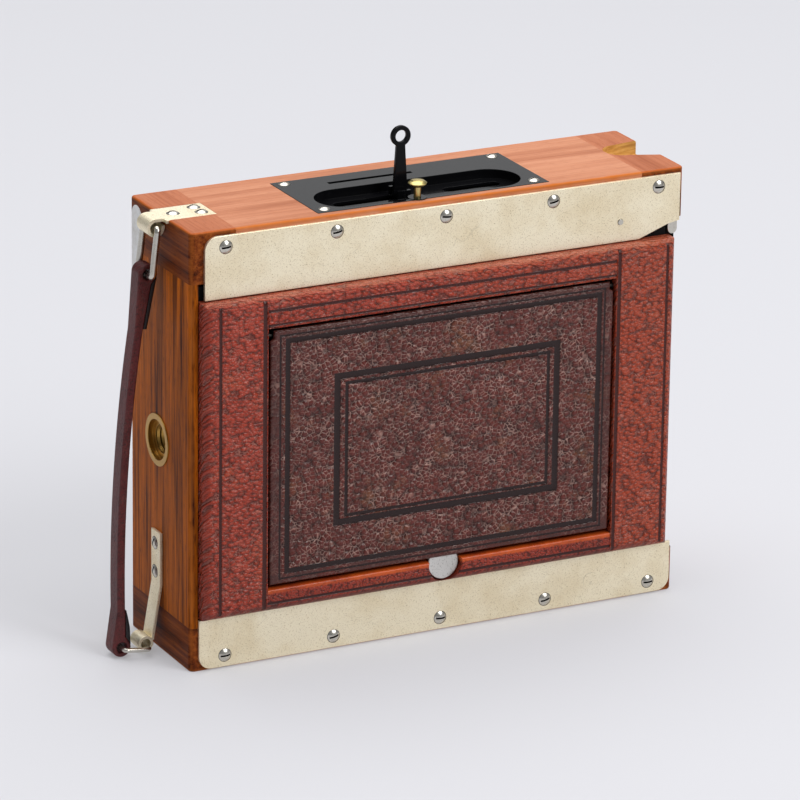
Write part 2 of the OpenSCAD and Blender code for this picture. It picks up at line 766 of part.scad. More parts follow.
module tripod_bush_side() color("#b48d45") from_back() {
  translate([xl, bush_y, bush_z]) rotate([0, 90, 0]) bush(bush_proud, bush_sink - bush_proud);
}

module tripod_bush_bottom() color("#b48d45") from_back() difference() {
  union() {
    rod_z(0, case_d / 2, [0, bush_flange_t], bush_flange_d / 2);
    rod_z(0, case_d / 2, [0, board_t - 0.2], bush_r);
  }
  rod_z(0, case_d / 2, [-1, bush_len], thread_d / 2);
}

// Focusing back

module leather_frame() difference() {
  intersection() {
    slab_xy([frame_z0, frame_z1]) rounded([frame_x0, frame_y0], [frame_x1, frame_y1 + 2 * leather_r], leather_r);
    slab_yz([frame_x0, frame_x1]) rounded([frame_y0, frame_z0], [frame_y1 + 2 * leather_r, frame_z1], leather_r);
    box([frame_x0, frame_x1], [frame_y0, frame_y1], [frame_z0, frame_z1]);
  }
  box([hood_x0, hood_x1], [frame_y0 - 1, frame_y1 + 1], [hood_z0, hood_z1]);
  rod_y(disc_x, [frame_y0 - 1, disc_y0 + disc_t + disc_travel + 0.5], disc_z, disc_d / 2 + disc_gap);
  rod_y(disc_x, [frame_y0, frame_y1 + 1], disc_z - disc_stem_drop, disc_stem_r + rod_play);
  hood_rods(0);
}

module back_stile_left() color("#7e3a2c") from_back() intersection() {
  leather_frame();
  box([frame_x0, hood_x0], [-9, 9], [0, zt]);
}

module back_stile_right() color("#8a3c28") from_back() intersection() {
  leather_frame();
  box([hood_x1, frame_x1], [-9, 9], [0, zt]);
}

module back_rail_top() color("#7e3a2c") from_back() intersection() {
  leather_frame();
  box([hood_x0, hood_x1], [-9, 9], [hood_z1, frame_z1]);
}

module back_rail_bottom() color("#7e3a2c") from_back() intersection() {
  leather_frame();
  box([hood_x0, hood_x1], [-9, 9], [frame_z0, hood_z0]);
}

module slide_plate() color("#2a2a2c") from_back() {
  difference() {
    box([frame_x0, frame_x1], [frame_y1, slide_y1], [tongue_z0, tongue_z1]);
    box([-image_x - 0.5, image_x + 0.5], [0, 4], [image_z0 - 0.5, image_z1 + 0.5]);
    rod_y(disc_x, [0, 4], disc_z - disc_stem_drop, disc_stem_r + rod_play);
  }
  for (x = [hood_x0 + lug_in, hood_x1 - lug_in - 1]) difference() {
    box([x, x + 1], [wing_y - 0.8, frame_y1], [wing_bottom_z - 0.8, wing_bottom_z + 0.8]);
    rod_x([x - 1, x + 2], wing_y, wing_bottom_z, wing_rod_r);
  }
}

module ground_glass() color([0.85, 0.9, 0.9, 0.7]) from_back() {
  box([-image_x - glass_lap, image_x + glass_lap], [slide_y1, glass_y1],
      [image_z0 - 1.5, image_z1 + 1.5]);
}

module glass_clips() color("#c9a44c") from_back() {
  for (side = [-1, 1], z = [image_z0 + 12, image_z1 - 12]) {
    edge = side * (image_x + glass_lap);
    path = [[edge - side * 4, glass_y1 + 0.25], [edge + side * 0.5, glass_y1 + 0.25],
            [edge + side * 0.5, slide_y1 + 0.25], [edge + side * 6, slide_y1 + 0.25]];
    slab_xy([z - 3.5, z + 3.5]) polygon(strip(path, 0.5));
  }
}

module hood_rods(extra) {
  rod_x([hood_x0 - 2, hood_x1 + 2], lid_axis_y, lid_axis_z, lid_rod_r + extra);
  for (x = [wing_left_x, wing_right_x]) rod_z(x, wing_y, [hood_z0 - 2, hood_z1 + 2], wing_rod_r + extra);
}

module hood_hinge_rods() color("#b9b9b4") from_back() {
  hood_rods(0);
  rod_x([hood_x0 + lug_in, hood_x1 - lug_in], wing_y, wing_bottom_z, wing_rod_r);
}

module lid_board() color("#1d1a1a") from_back() difference() {
  union() {
    box([lid_x0, lid_x1], [lid_board_y0, lid_board_y1], [lid_z0, lid_z1]);
    rod_x([lid_x0, lid_x1], lid_axis_y, lid_axis_z, lid_barrel_r);
  }
  rod_x([lid_x0 - 1, lid_x1 + 1], lid_axis_y, lid_axis_z, lid_rod_r + rod_play);
  rod_y(disc_x, [lid_board_y0, lid_board_y1 + 1], disc_z, disc_d / 2 + disc_gap);
}

module lid_leather() color("#4a2624") from_back() intersection() {
  r = 0.95;
  slab_xy([lid_z0, lid_z1]) rounded([lid_x0, lid_y0], [lid_x1, lid_y0 + 4], r);
  slab_yz([lid_x0, lid_x1]) rounded([lid_y0, lid_z0], [lid_y0 + 4, lid_z1], r);
  box([lid_x0, lid_x1], [lid_y0, lid_board_y0], [lid_z0, lid_z1]);
}

// Side wing: a leaf with mitred ends on a barrel, the barrel at x, the leaf towards side
module side_wing(x, side) {
  depth = wing_depth;
  difference() {
    union() {
      slab_xz([wing_y - wing_t / 2, wing_y + wing_t / 2]) {
        polygon([[x, wing_start_z], [x + side * depth, wing_start_z + depth],
                 [x + side * depth, wing_top_z - depth], [x, wing_top_z]]);
      }
      rod_z(x, wing_y, [wing_start_z, wing_top_z], wing_barrel_r);
    }
    rod_z(x, wing_y, [wing_start_z - 1, wing_top_z + 1], wing_rod_r + 0.05);
  }
}

module hood_wing_left() color("#232020") from_back() side_wing(wing_left_x, 1);
module hood_wing_right() color("#232020") from_back() side_wing(wing_right_x, -1);

module hood_wing_bottom() color("#232020") from_back() difference() {
  x0 = hood_x0 + lug_in + 1.4;
  x1 = hood_x1 - lug_in - 1.4;
  top_z = wing_bottom_z + wing_depth;
  left = wing_start_z - wing_left_x - mitre_gap;
  right = wing_start_z + wing_right_x - mitre_gap;
  union() {
    slab_xz([wing_y - wing_t / 2, wing_y + wing_t / 2]) {
      polygon([[x0, wing_bottom_z], [x0, x0 + left], [top_z - left, top_z], [right - top_z, top_z],
               [x1, right - x1], [x1, wing_bottom_z]]);
    }
    rod_x([x0, x1], wing_y, wing_bottom_z, wing_barrel_r);
  }
  rod_x([x0 - 1, x1 + 1], wing_y, wing_bottom_z, wing_rod_r + 0.05);
  box([disc_x - disc_d / 2 - 1.3, disc_x + disc_d / 2 + 1.3], [-5, 5], [0, disc_z + disc_d / 2 + 1.3]);
}

module disc_catch() color("#d9d6cc") from_back() {
  translate([disc_x, disc_y0 + disc_t, disc_z]) rotate([90, 0, 0]) {
    rotate_extrude() polygon([[0, 0], [disc_d / 2, 0], [disc_d / 2, disc_t - 0.3], [disc_d / 2 - 0.3, disc_t], [0, disc_t]]);
  }
  rod_y(disc_x, [disc_y0 + disc_t - eps, slide_y1], disc_z - disc_stem_drop, disc_stem_r);
}

module back_catch() color("#d9d6cc") from_back() {
  slab_xz([catch_y0, catch_y1]) {
    translate([catch_x, catch_z]) circle(2.3);
    translate([catch_x, catch_z - 2]) square([xr - 2 - catch_x, 3.5]);
    translate([xr - 5.5, plate_top_z0 + 1.6]) square([3.5, 6]);
    translate([xr - 3.75, plate_top_z0 + 1.75]) circle(1.75);
  }
  rod_y(catch_x, [-plate_t - 0.3, catch_y0 + eps], catch_z, 1);
}

// Shutter

module upper_roller() color("#4a4a4a") from_back() {
  rod_x([-roller_x, roller_x], shaft_y, upper_z, roller_r);
  rod_x([-inner_x + 0.5, recess_x + 0.6], shaft_y, upper_z, shaft_r);
}

module lower_roller() color("#4a4a4a") from_back() {
  rod_x([-roller_x, roller_x], shaft_y, lower_z, roller_r);
  rod_x([-inner_x + 0.5, inner_x - 1], shaft_y, lower_z, shaft_r);
}

// Knob with a fluted rim, drawn along +Z from its foot
module knob(d, h) {
  flutes = 20;
  difference() {
    rotate_extrude() polygon([[0, 0], [d * 0.42, 0], [d * 0.42, h * 0.2], [d * 0.5, h * 0.25], [d * 0.5, h * 0.85],
                              [d * 0.46, h], [d * 0.3, h], [d * 0.28, h * 0.9], [0, h * 0.9]]);
    for (i = [0:flutes - 1]) rotate(i * 360 / flutes) translate([d * 0.52, 0, h * 0.25]) cylinder(h = h, r = d * 0.045);
  }
}

module winding_knob() color("#cfcabb") from_back() difference() {
  translate([recess_x + 0.6, shaft_y, upper_z]) rotate([0, 90, 0]) knob(winding_d, 11);
  rod_x([inner_x, recess_x + 0.6], shaft_y, upper_z, shaft_r);
}

module tension_knob() color("#cfcabb") from_back() {
  translate([recess_x + 0.6, shaft_y, lower_z]) rotate([0, 90, 0]) knob(tension_d, 9);
  rod_x([inner_x - 0.4, recess_x + 0.6 + eps], shaft_y, lower_z, shaft_r);
}

// Front standard and struts

module front_standard() color("#19191b") from_back() {
  difference() {
    box([-standard_x, standard_x], standard_y, standard_z);
    box([-20, 20], [30, 50], [axis_z - 20.5, axis_z + 32.5]);
  }
  for (side = [-1, 1]) {
    slab_xy([axis_z - board_h, axis_z + board_h + 15]) {
      polygon([for (p = [[board_x + 0.4, standard_y[1]], [board_x + 5, standard_y[1]], [board_x + 5, rail_y],
                         [board_x - 1.5, rail_y], [board_x - 1.5, board_y[1] + 0.3], [board_x + 0.4, board_y[1] + 0.3]])
        [side * p[0], p[1]]]);
    }
    x = side < 0 ? [-wire_w / 2 - 3.4, -wire_w / 2 - 1.4] : [wire_w / 2 + 1.4, wire_w / 2 + 3.4];
    difference() {
      union() {
        box(x, [standard_y[1], wire_y], [wire_z - 2, wire_z + 2]);
        rod_x(x, wire_y, wire_z, 2);
      }
      rod_x([x[0] - 1, x[1] + 1], wire_y, wire_z, wire_r + rod_play);
    }
  }
}

module standard_brackets() color("#b9b9b4") from_back() {
  for (side = [-1, 1]) {
    x = side < 0 ? [-bracket_x[1], -bracket_x[0]] : bracket_x;
    difference() {
      box(x, [29.6, standard_y[1]], standard_z);
      for (z = [[pivot_low_z + strut_end_in * cos(strut_angle) - 1, pivot_low_z + strut_end_in + 1],
                [pivot_low_z + (pivot_high_z - pivot_low_z - strut_end_in) * cos(strut_angle) - 1,
                 pivot_high_z - strut_end_in + 1]]) {
        hull() for (v = z) rod_x([x[0] - 1, x[1] + 1], strut_y, v, strut_pin_r + 0.3);
      }
    }
  }
}

// Strut between two heights, with rounded ends, for one side
module strut(side, layer, z0, z1) {
  x = side < 0 ? [-layer[1], -layer[0]] : layer;
  box(x, [strut_y - strut_w / 2, strut_y + strut_w / 2], [z0, z1]);
  for (z = [z0, z1]) rod_x(x, strut_y, z, strut_w / 2);
}

module pin(side, x0, x1, z, r) rod_x(side < 0 ? [-x1, -x0] : [x0, x1], strut_y, z, r);

module struts_lower() color("#c9c6bb") from_back() {
  for (side = [-1, 1]) {
    strut(side, strut_inner_x, pivot_low_z, pivot_high_z - strut_end_in);
    pin(side, strut_inner_x[1] - eps, guide_plate_x + 1.8, pivot_low_z, strut_pin_r);
    pin(side, strut_inner_x[1] - eps, strut_outer_x[1] + 0.6, pivot_mid_z, strut_pin_r);
  }
}

module struts_upper() color("#c9c6bb") from_back() {
  for (side = [-1, 1]) {
    difference() {
      strut(side, strut_outer_x, pivot_low_z + strut_end_in, pivot_high_z);
      pin(side, strut_outer_x[0] - 1, strut_outer_x[1] + 1, pivot_mid_z, strut_pin_r + pin_play);
    }
    pin(side, strut_outer_x[1] - eps, guide_plate_x + 1.8, pivot_high_z, strut_pin_r);
  }
}

module lens_board() color("#9a5a30") from_back() difference() {
  box([-board_x, board_x], board_y, [axis_z - board_h, axis_z + board_h]);
  rod_y(0, [30, 50], axis_z, lens_hole_r);
}

// Turned pieces of the lens, drawn along +Y from y = 0 on the optical axis
module turned(y) translate([0, y, axis_z]) rotate([-90, 0, 0]) rotate_extrude($fn = 96) children();

module focus_ring() color("#232325") from_back() {
  h = focus_y[1] - focus_y[0];
  turned(focus_y[0]) polygon([[barrel_r + ring_play, 0], [barrel_r + 4.4, 0], [barrel_r + 4.4, h * 0.3],
                              [barrel_r + 3.4, h * 0.4], [barrel_r + 3.4, h], [barrel_r + ring_play, h]]);
  translate([0, 0, axis_z]) rotate([0, -60, 0]) rod_y(0, [focus_y[0] + 0.4, focus_y[1] + 2], barrel_r + 6, 1.6);
  translate([0, 0, axis_z]) rotate([0, -60, 0]) {
    box([-1.2, 1.2], [focus_y[0] + 0.4, focus_y[0] + 2.2], [barrel_r + 2, barrel_r + 6]);
  }
}

module lens_barrel() color("#b9a56a") from_back() {
  r = barrel_r;
  y0 = barrel_y[0];
  h = barrel_y[1] - y0;
  neck = focus_y[0] - y0;
  turned(y0) polygon([[r - 4, 0], [r - 2, 0], [r - 2, neck + 0.4], [r, neck + 0.4], [r, h],
                      [r - 1.5, h], [r - 3.5, h - 5], [r - 3.5, h - 9], [r - 7, h - 9], [r - 7, 5], [r - 4, 5]]);
}

module lens_glass() color([0.75, 0.85, 0.95, 0.5]) from_back() {
  r = barrel_r - 3.5;
  y0 = barrel_y[1] - 9;
  intersection() {
    rod_y(0, [y0, y0 + 6], axis_z, r);
    translate([0, y0 + 4 - r * 1.6, axis_z]) sphere(r * 1.6, $fn = 128);
  }
  r2 = barrel_r - 4;
  intersection() {
    rod_y(0, [barrel_y[0], barrel_y[0] + 5], axis_z, r2);
    translate([0, barrel_y[0] + 0.6 + r2 * 1.8, axis_z]) sphere(r2 * 1.8, $fn = 128);
  }
}

module iris() color("#2e2e31") from_back() difference() {
  rod_y(0, [barrel_y[0] + 12, barrel_y[0] + 12.6], axis_z, barrel_r - 7);
  translate([0, barrel_y[0] + 14, axis_z]) rotate([90, 0, 0]) cylinder(h = 4, r = 6, $fn = 10);
}

module aperture_ring() color("#cfcabb") from_back() {
  h = aperture_y[1] - aperture_y[0];
  r = barrel_r;
  difference() {
    turned(aperture_y[0]) polygon([[r + 0.05, 0], [r + 1.9, 0], [r + 2.2, 0.4], [r + 2.2, h - 0.4],
                                   [r + 1.9, h], [r + 0.05, h]]);
    for (i = [0:35]) translate([0, 0, axis_z]) rotate([0, i * 10, 0]) {
      rod_y(0, [aperture_y[0] - 1, aperture_y[1] - 0.8], r + 2.6, 0.7);
    }
  }
}

// Wire finder: a wire frame hanging from its hinge, round the lens
module wire_finder() color("#dcd8cc") from_back() {
  x = wire_w / 2;
  z0 = wire_z - wire_h;
  c = wire_corner_r;
  rod_x([-x + c, x - c], wire_y, z0, wire_r);
  for (side = [-1, 1]) {
    rod_z(side * x, wire_y, [z0 + c, wire_z], wire_r);
    translate([side * x, wire_y, wire_z]) sphere(wire_r);
    rod_x(side < 0 ? [-x - 3.4, -x] : [x, x + 3.4], wire_y, wire_z, wire_r);
    translate([side * (x - c), wire_y, z0 + c]) rotate([90, 0, 0]) {
      rotate(side < 0 ? 180 : 270) rotate_extrude(angle = 90) translate([c, 0]) circle(wire_r);
    }
  }
}

top_panel();
bottom_panel();
left_panel();
right_panel();
corner_blocks();
front_frame();
rear_plate_top();
rear_plate_bottom();
rear_plate_screws();
plate_frame();
shutter_blind();
blind_guides();
roller_bearings();
strut_guides();
finder_plate();
finder_plate_screws();
button_collar();
strap_tab_top();
strap_tab_bottom();
strap_tab_screws();
tripod_bush_side();
tripod_bush_bottom();
bellows_frame();
bellows();
back_stile_left();
back_stile_right();
back_rail_top();
back_rail_bottom();
slide_plate();
ground_glass();
glass_clips();
hood_hinge_rods();
lid_board();
lid_leather();
hood_wing_left();
hood_wing_right();
hood_wing_bottom();
disc_catch();
back_catch();
sight_lever();
release_button();
strap_loop_top();
strap();
strap_lining();
strap_loop_bottom();
winding_knob();
upper_roller();
lower_roller();
tension_knob();
front_standard();
standard_brackets();
struts_lower();
struts_upper();
lens_board();
focus_ring();
lens_barrel();
lens_glass();
iris();
aperture_ring();
wire_finder();
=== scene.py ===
import json
import math
import random

import bmesh
import bpy
from bpy.props import FloatProperty, FloatVectorProperty, PointerProperty
from mathutils import Matrix, Vector

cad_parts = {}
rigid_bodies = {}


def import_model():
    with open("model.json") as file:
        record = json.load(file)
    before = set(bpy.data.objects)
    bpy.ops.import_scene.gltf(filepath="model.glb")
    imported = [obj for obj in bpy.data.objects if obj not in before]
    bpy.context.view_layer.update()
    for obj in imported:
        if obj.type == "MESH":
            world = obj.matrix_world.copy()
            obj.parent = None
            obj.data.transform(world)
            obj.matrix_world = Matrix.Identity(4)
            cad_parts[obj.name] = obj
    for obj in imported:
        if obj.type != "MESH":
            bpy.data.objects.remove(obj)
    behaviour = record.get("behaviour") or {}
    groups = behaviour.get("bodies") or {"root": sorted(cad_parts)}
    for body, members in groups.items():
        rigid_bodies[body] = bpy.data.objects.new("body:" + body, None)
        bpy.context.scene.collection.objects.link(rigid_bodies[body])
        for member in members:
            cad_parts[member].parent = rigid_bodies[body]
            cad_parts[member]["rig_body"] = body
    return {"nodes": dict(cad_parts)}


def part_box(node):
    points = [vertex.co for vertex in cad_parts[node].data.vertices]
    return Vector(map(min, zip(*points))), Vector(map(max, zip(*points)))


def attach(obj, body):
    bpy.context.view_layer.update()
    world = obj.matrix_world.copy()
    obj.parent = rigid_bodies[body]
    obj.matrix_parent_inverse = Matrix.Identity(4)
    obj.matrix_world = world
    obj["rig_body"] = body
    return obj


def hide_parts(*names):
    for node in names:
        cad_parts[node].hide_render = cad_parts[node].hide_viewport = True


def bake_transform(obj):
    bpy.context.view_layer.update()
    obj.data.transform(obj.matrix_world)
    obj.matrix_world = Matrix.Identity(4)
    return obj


# Looks of a folding plate camera for the tropics: teak case, metal plates, leather-covered focusing back.
# Pieces are modelled in millimetres, with Y measured from the back face of the wood, and turned to metres at the end.

bl_info = {
    "name": "Tropical plate camera",
    "version": (1, 0, 0),
    "blender": (4, 5, 0),
    "location": "View3D > Sidebar > Plate camera",
    "description": "Dresses the plate camera's solids: teak, leather, metal, glass and the stage",
    "category": "Object",
}

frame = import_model()
MM = 0.001

# The wooden case reaches from the left board to the right one, and is as high as its corner blocks.
CASE_LOW, CASE_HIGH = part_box("left_panel")[0].copy(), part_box("right_panel")[1].copy()
CASE_LOW.z, CASE_HIGH.z = (corner.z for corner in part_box("corner_blocks"))
TO_FRAME = Matrix.Scale(MM, 4) @ Matrix.Translation((0, CASE_LOW.y / MM, 0))
TO_DESIGN = TO_FRAME.inverted()


def linear(code):
    """A colour such as "#a0522d", turned from sRGB to linear, with full alpha."""
    parts = [int(code[i:i + 2], 16) / 255 for i in (1, 3, 5)]
    return tuple(c / 12.92 if c <= 0.04045 else ((c + 0.055) / 1.055) ** 2.4 for c in parts) + (1.0,)


def size_property(name, description, millimetres):
    """A length that a user can change."""
    return FloatProperty(name=name, description=description, default=millimetres * MM, min=0.0, unit="LENGTH")


def colour_property(name, description, code):
    """A colour that a user can change."""
    return FloatVectorProperty(name=name, description=description, default=linear(code), size=4, min=0.0, max=1.0,
                               subtype="COLOR")


class PlateCameraSizes(bpy.types.PropertyGroup):
    """Sizes of the finish, which the solids don't hold"""
    wood_edge: size_property("Wood edge", "Rounding of the outer edges of the case", 0.7)
    plate_edge: size_property("Plate edge", "Bevel of the metal plates", 0.2)
    leather_fold: size_property("Leather fold", "Rounding where the leather turns in at the seams", 0.6)
    groove_width: size_property("Tooled line width", "Width of the thin tooled lines", 0.8)
    groove_depth: size_property("Tooled line depth", "Depth of the tooled lines", 0.3)
    thread_pitch: size_property("Thread pitch", "Distance between the ridges in the tripod bushes", 1.6)
    label_width: size_property("Label width", "Width of the blank paper label on the left side", 7.8)


class PlateCameraColours(bpy.types.PropertyGroup):
    """Colours of the finishes"""
    teak: colour_property("Teak", "Light wood between the grain lines", "#c6660f")
    teak_dark: colour_property("Teak grain", "Dark grain lines of the wood", "#4a200c")
    frame_leather: colour_property("Frame leather", "Leather round the focusing back", "#94301c")
    lid_leather: colour_property("Lid leather", "Leather of the focusing lid", "#521e17")
    strap_leather: colour_property("Strap leather", "Leather of the carrying strap", "#541a1c")
    silver: colour_property("German silver", "Yellowish nickel silver of the plates", "#faf0d6")
    nickel: colour_property("Nickel", "Nickel plate of screws and loops", "#cdc9c0")
    brass: colour_property("Brass", "Brass of the bushes and the lens", "#b08a48")
    lacquer: colour_property("Lacquer", "Black lacquer of the finder plate and the front", "#0c0c0e")
    floor: colour_property("Floor", "Pale floor under the camera", "#a9a9ad")


def sizes():
    """The sizes as the user has set them."""
    return bpy.context.scene.plate_camera_sizes


def colours():
    """The colours as the user has set them."""
    return bpy.context.scene.plate_camera_colours


def box_mm(node):
    """A node's lowest and highest corner in millimetres, with Y measured from the back face of the wood."""
    return [corner / MM - Vector((0, CASE_LOW.y / MM, 0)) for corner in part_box(node)]


def case_mm():
    """Half width, depth and height of the case in millimetres."""
    return CASE_HIGH.x / MM, (CASE_HIGH.y - CASE_LOW.y) / MM, CASE_HIGH.z / MM


# Materials


def add_node(tree, kind, inputs=(), stops=(), **settings):
    """Adds a shader node. Inputs are values or sockets by name or number, and stops fill a colour ramp. A Mix has its
    factor at 0. Numbers go in at 2 and 3 and come out at 0, and colours go in at 6 and 7 and come out at 2."""
    made = tree.nodes.new("ShaderNode" + kind)
    for key, value in settings.items():
        setattr(made, key, value)
    for key, value in dict(inputs).items():
        if isinstance(value, bpy.types.NodeSocket):
            tree.links.new(value, made.inputs[key])
        else:
            made.inputs[key].default_value = value
    if stops:
        ramp = made.color_ramp
        ramp.elements[0].position, ramp.elements[-1].position = stops[0][0], stops[-1][0]
        for place, _ in stops[1:-1]:
            ramp.elements.new(place)
        for element, (_, colour) in zip(ramp.elements, stops):
            element.color = colour
    return made


def grey(value):
    """A grey, for ramps that make masks."""
    return (value, value, value, 1.0)


def shade(colour, factor):
    """The same colour, darker or lighter."""
    return tuple(min(1.0, c * factor) for c in colour[:3]) + (1.0,)


def per_mm(x, y, z):
    """Mapping scale that makes one pattern unit this many millimetres along each axis."""
    return (1 / (x * MM), 1 / (y * MM), 1 / (z * MM))


def new_material(name, values):
    """A material with its shader's plain values. Returns the material, its tree, shader and object coordinates."""
    material = bpy.data.materials.new(name)
    material.use_nodes = True
    tree = material.node_tree
    shader = tree.nodes["Principled BSDF"]
    for key, value in values.items():
        shader.inputs[key].default_value = value
    return material, tree, shader, add_node(tree, "TexCoord").outputs["Object"]


def feed(tree, shader, colour=None, roughness=None, relief=None):
    """Leads a finish's patterns into its shader."""
    for key, source in (("Base Color", colour), ("Roughness", roughness), ("Normal", relief)):
        if source is not None:
            tree.links.new(source, shader.inputs[key])


def edge_wear(tree, spot, reach):
    """A mask that is 1 near the outer edges of the case, where varnish rubs thin, broken up by noise."""
    middle = (CASE_LOW + CASE_HIGH) / 2
    half = (CASE_HIGH - CASE_LOW) / 2
    centred = add_node(tree, "VectorMath", {0: spot, 1: middle}, operation="SUBTRACT")
    folded = add_node(tree, "VectorMath", {0: centred.outputs[0]}, operation="ABSOLUTE")
    inside = add_node(tree, "VectorMath", {0: half, 1: folded.outputs[0]}, operation="SUBTRACT")
    # an edge is where two of the three distances to the outer faces are small, so the second smallest tells it
    axes = add_node(tree, "SeparateXYZ", {0: inside.outputs[0]}).outputs
    low = add_node(tree, "Math", {0: axes[0], 1: axes[1]}, operation="MINIMUM").outputs[0]
    high = add_node(tree, "Math", {0: axes[0], 1: axes[1]}, operation="MAXIMUM").outputs[0]
    other = add_node(tree, "Math", {0: high, 1: axes[2]}, operation="MINIMUM").outputs[0]
    second = add_node(tree, "Math", {0: low, 1: other}, operation="MAXIMUM").outputs[0]
    rough = add_node(tree, "TexNoise", {"Vector": spot, "Scale": 1 / (6 * MM), "Detail": 4.0})
    limit = add_node(tree, "Math", {0: rough.outputs[0], 1: 2 * reach}, operation="MULTIPLY").outputs[0]
    return add_node(tree, "MapRange", {0: second, 1: limit, 2: 0.0, 3: 0.0, 4: 1.0}).outputs[0]


def teak(name, along, tones, band, worn_colour, wear=0.75):
    """Teak, oiled and rubbed: straight dark and light bands, fine grain lines and open pores, a soft low gloss. Along
    is the axis of the grain, tones are its dark, middle and light wood, and band is the width of a band in mm."""
    material, tree, shader, spot = new_material(name, {"Specular IOR Level": 0.07})
    dark, middle, light = tones
    # each pattern's length along the grain and width across it, in mm
    bands, lines, fibres, pore_place = (
        add_node(tree, "Mapping", {"Vector": spot, "Scale": per_mm(*(long if i == along else wide for i in range(3)))})
        for long, wide in ((band * 22, band), (60, 0.9), (9, 0.35), (4.5, 0.4)))
    broad = add_node(tree, "TexNoise", {"Vector": bands.outputs[0], "Scale": 1.0, "Detail": 2.0, "Distortion": 0.6})
    line = add_node(tree, "TexNoise", {"Vector": lines.outputs[0], "Scale": 1.0, "Detail": 4.0, "Distortion": 0.3})
    fibre = add_node(tree, "TexNoise", {"Vector": fibres.outputs[0], "Scale": 1.0, "Detail": 3.0})
    coarse = add_node(tree, "Mix", {0: 0.36, 2: broad.outputs[0], 3: line.outputs[0]})
    grain = add_node(tree, "Mix", {0: 0.2, 2: coarse.outputs[0], 3: fibre.outputs[0]})
    tone = add_node(tree, "ValToRGB", {0: grain.outputs[0]}, stops=[(0.38, dark), (0.49, middle), (0.60, light)])
    pores = add_node(tree, "TexNoise", {"Vector": pore_place.outputs[0], "Scale": 1.0, "Detail": 1.0})
    pore = add_node(tree, "ValToRGB", {0: pores.outputs[0]}, stops=[(0.60, grey(0)), (0.70, grey(0.6))])
    pored = add_node(tree, "Mix", {0: pore.outputs[0], 6: tone.outputs[0], 7: dark}, data_type="RGBA")
    # edge colour: partly worn varnish, partly a painted highlight along the rounded edges
    worn = edge_wear(tree, spot, 1.5 * MM)
    worn_and_lit_amount = add_node(tree, "Math", {0: worn, 1: wear}, operation="MULTIPLY")
    colour = add_node(tree, "Mix", {0: worn_and_lit_amount.outputs[0], 6: pored.outputs[2], 7: worn_colour}, data_type="RGBA")
    gloss = add_node(tree, "MapRange", {0: fibre.outputs[0], 3: 0.36, 4: 0.58})
    bump = add_node(tree, "Bump", {"Strength": 0.5, "Distance": 0.06 * MM, "Height": grain.outputs[0]})
    dents = add_node(tree, "Bump", {"Strength": 0.7, "Distance": 0.06 * MM, "Height": pore.outputs[0],
                                    "Normal": bump.outputs[0]}, invert=True)
    feed(tree, shader, colour.outputs[2], gloss.outputs[0], dents.outputs[0])
    return material


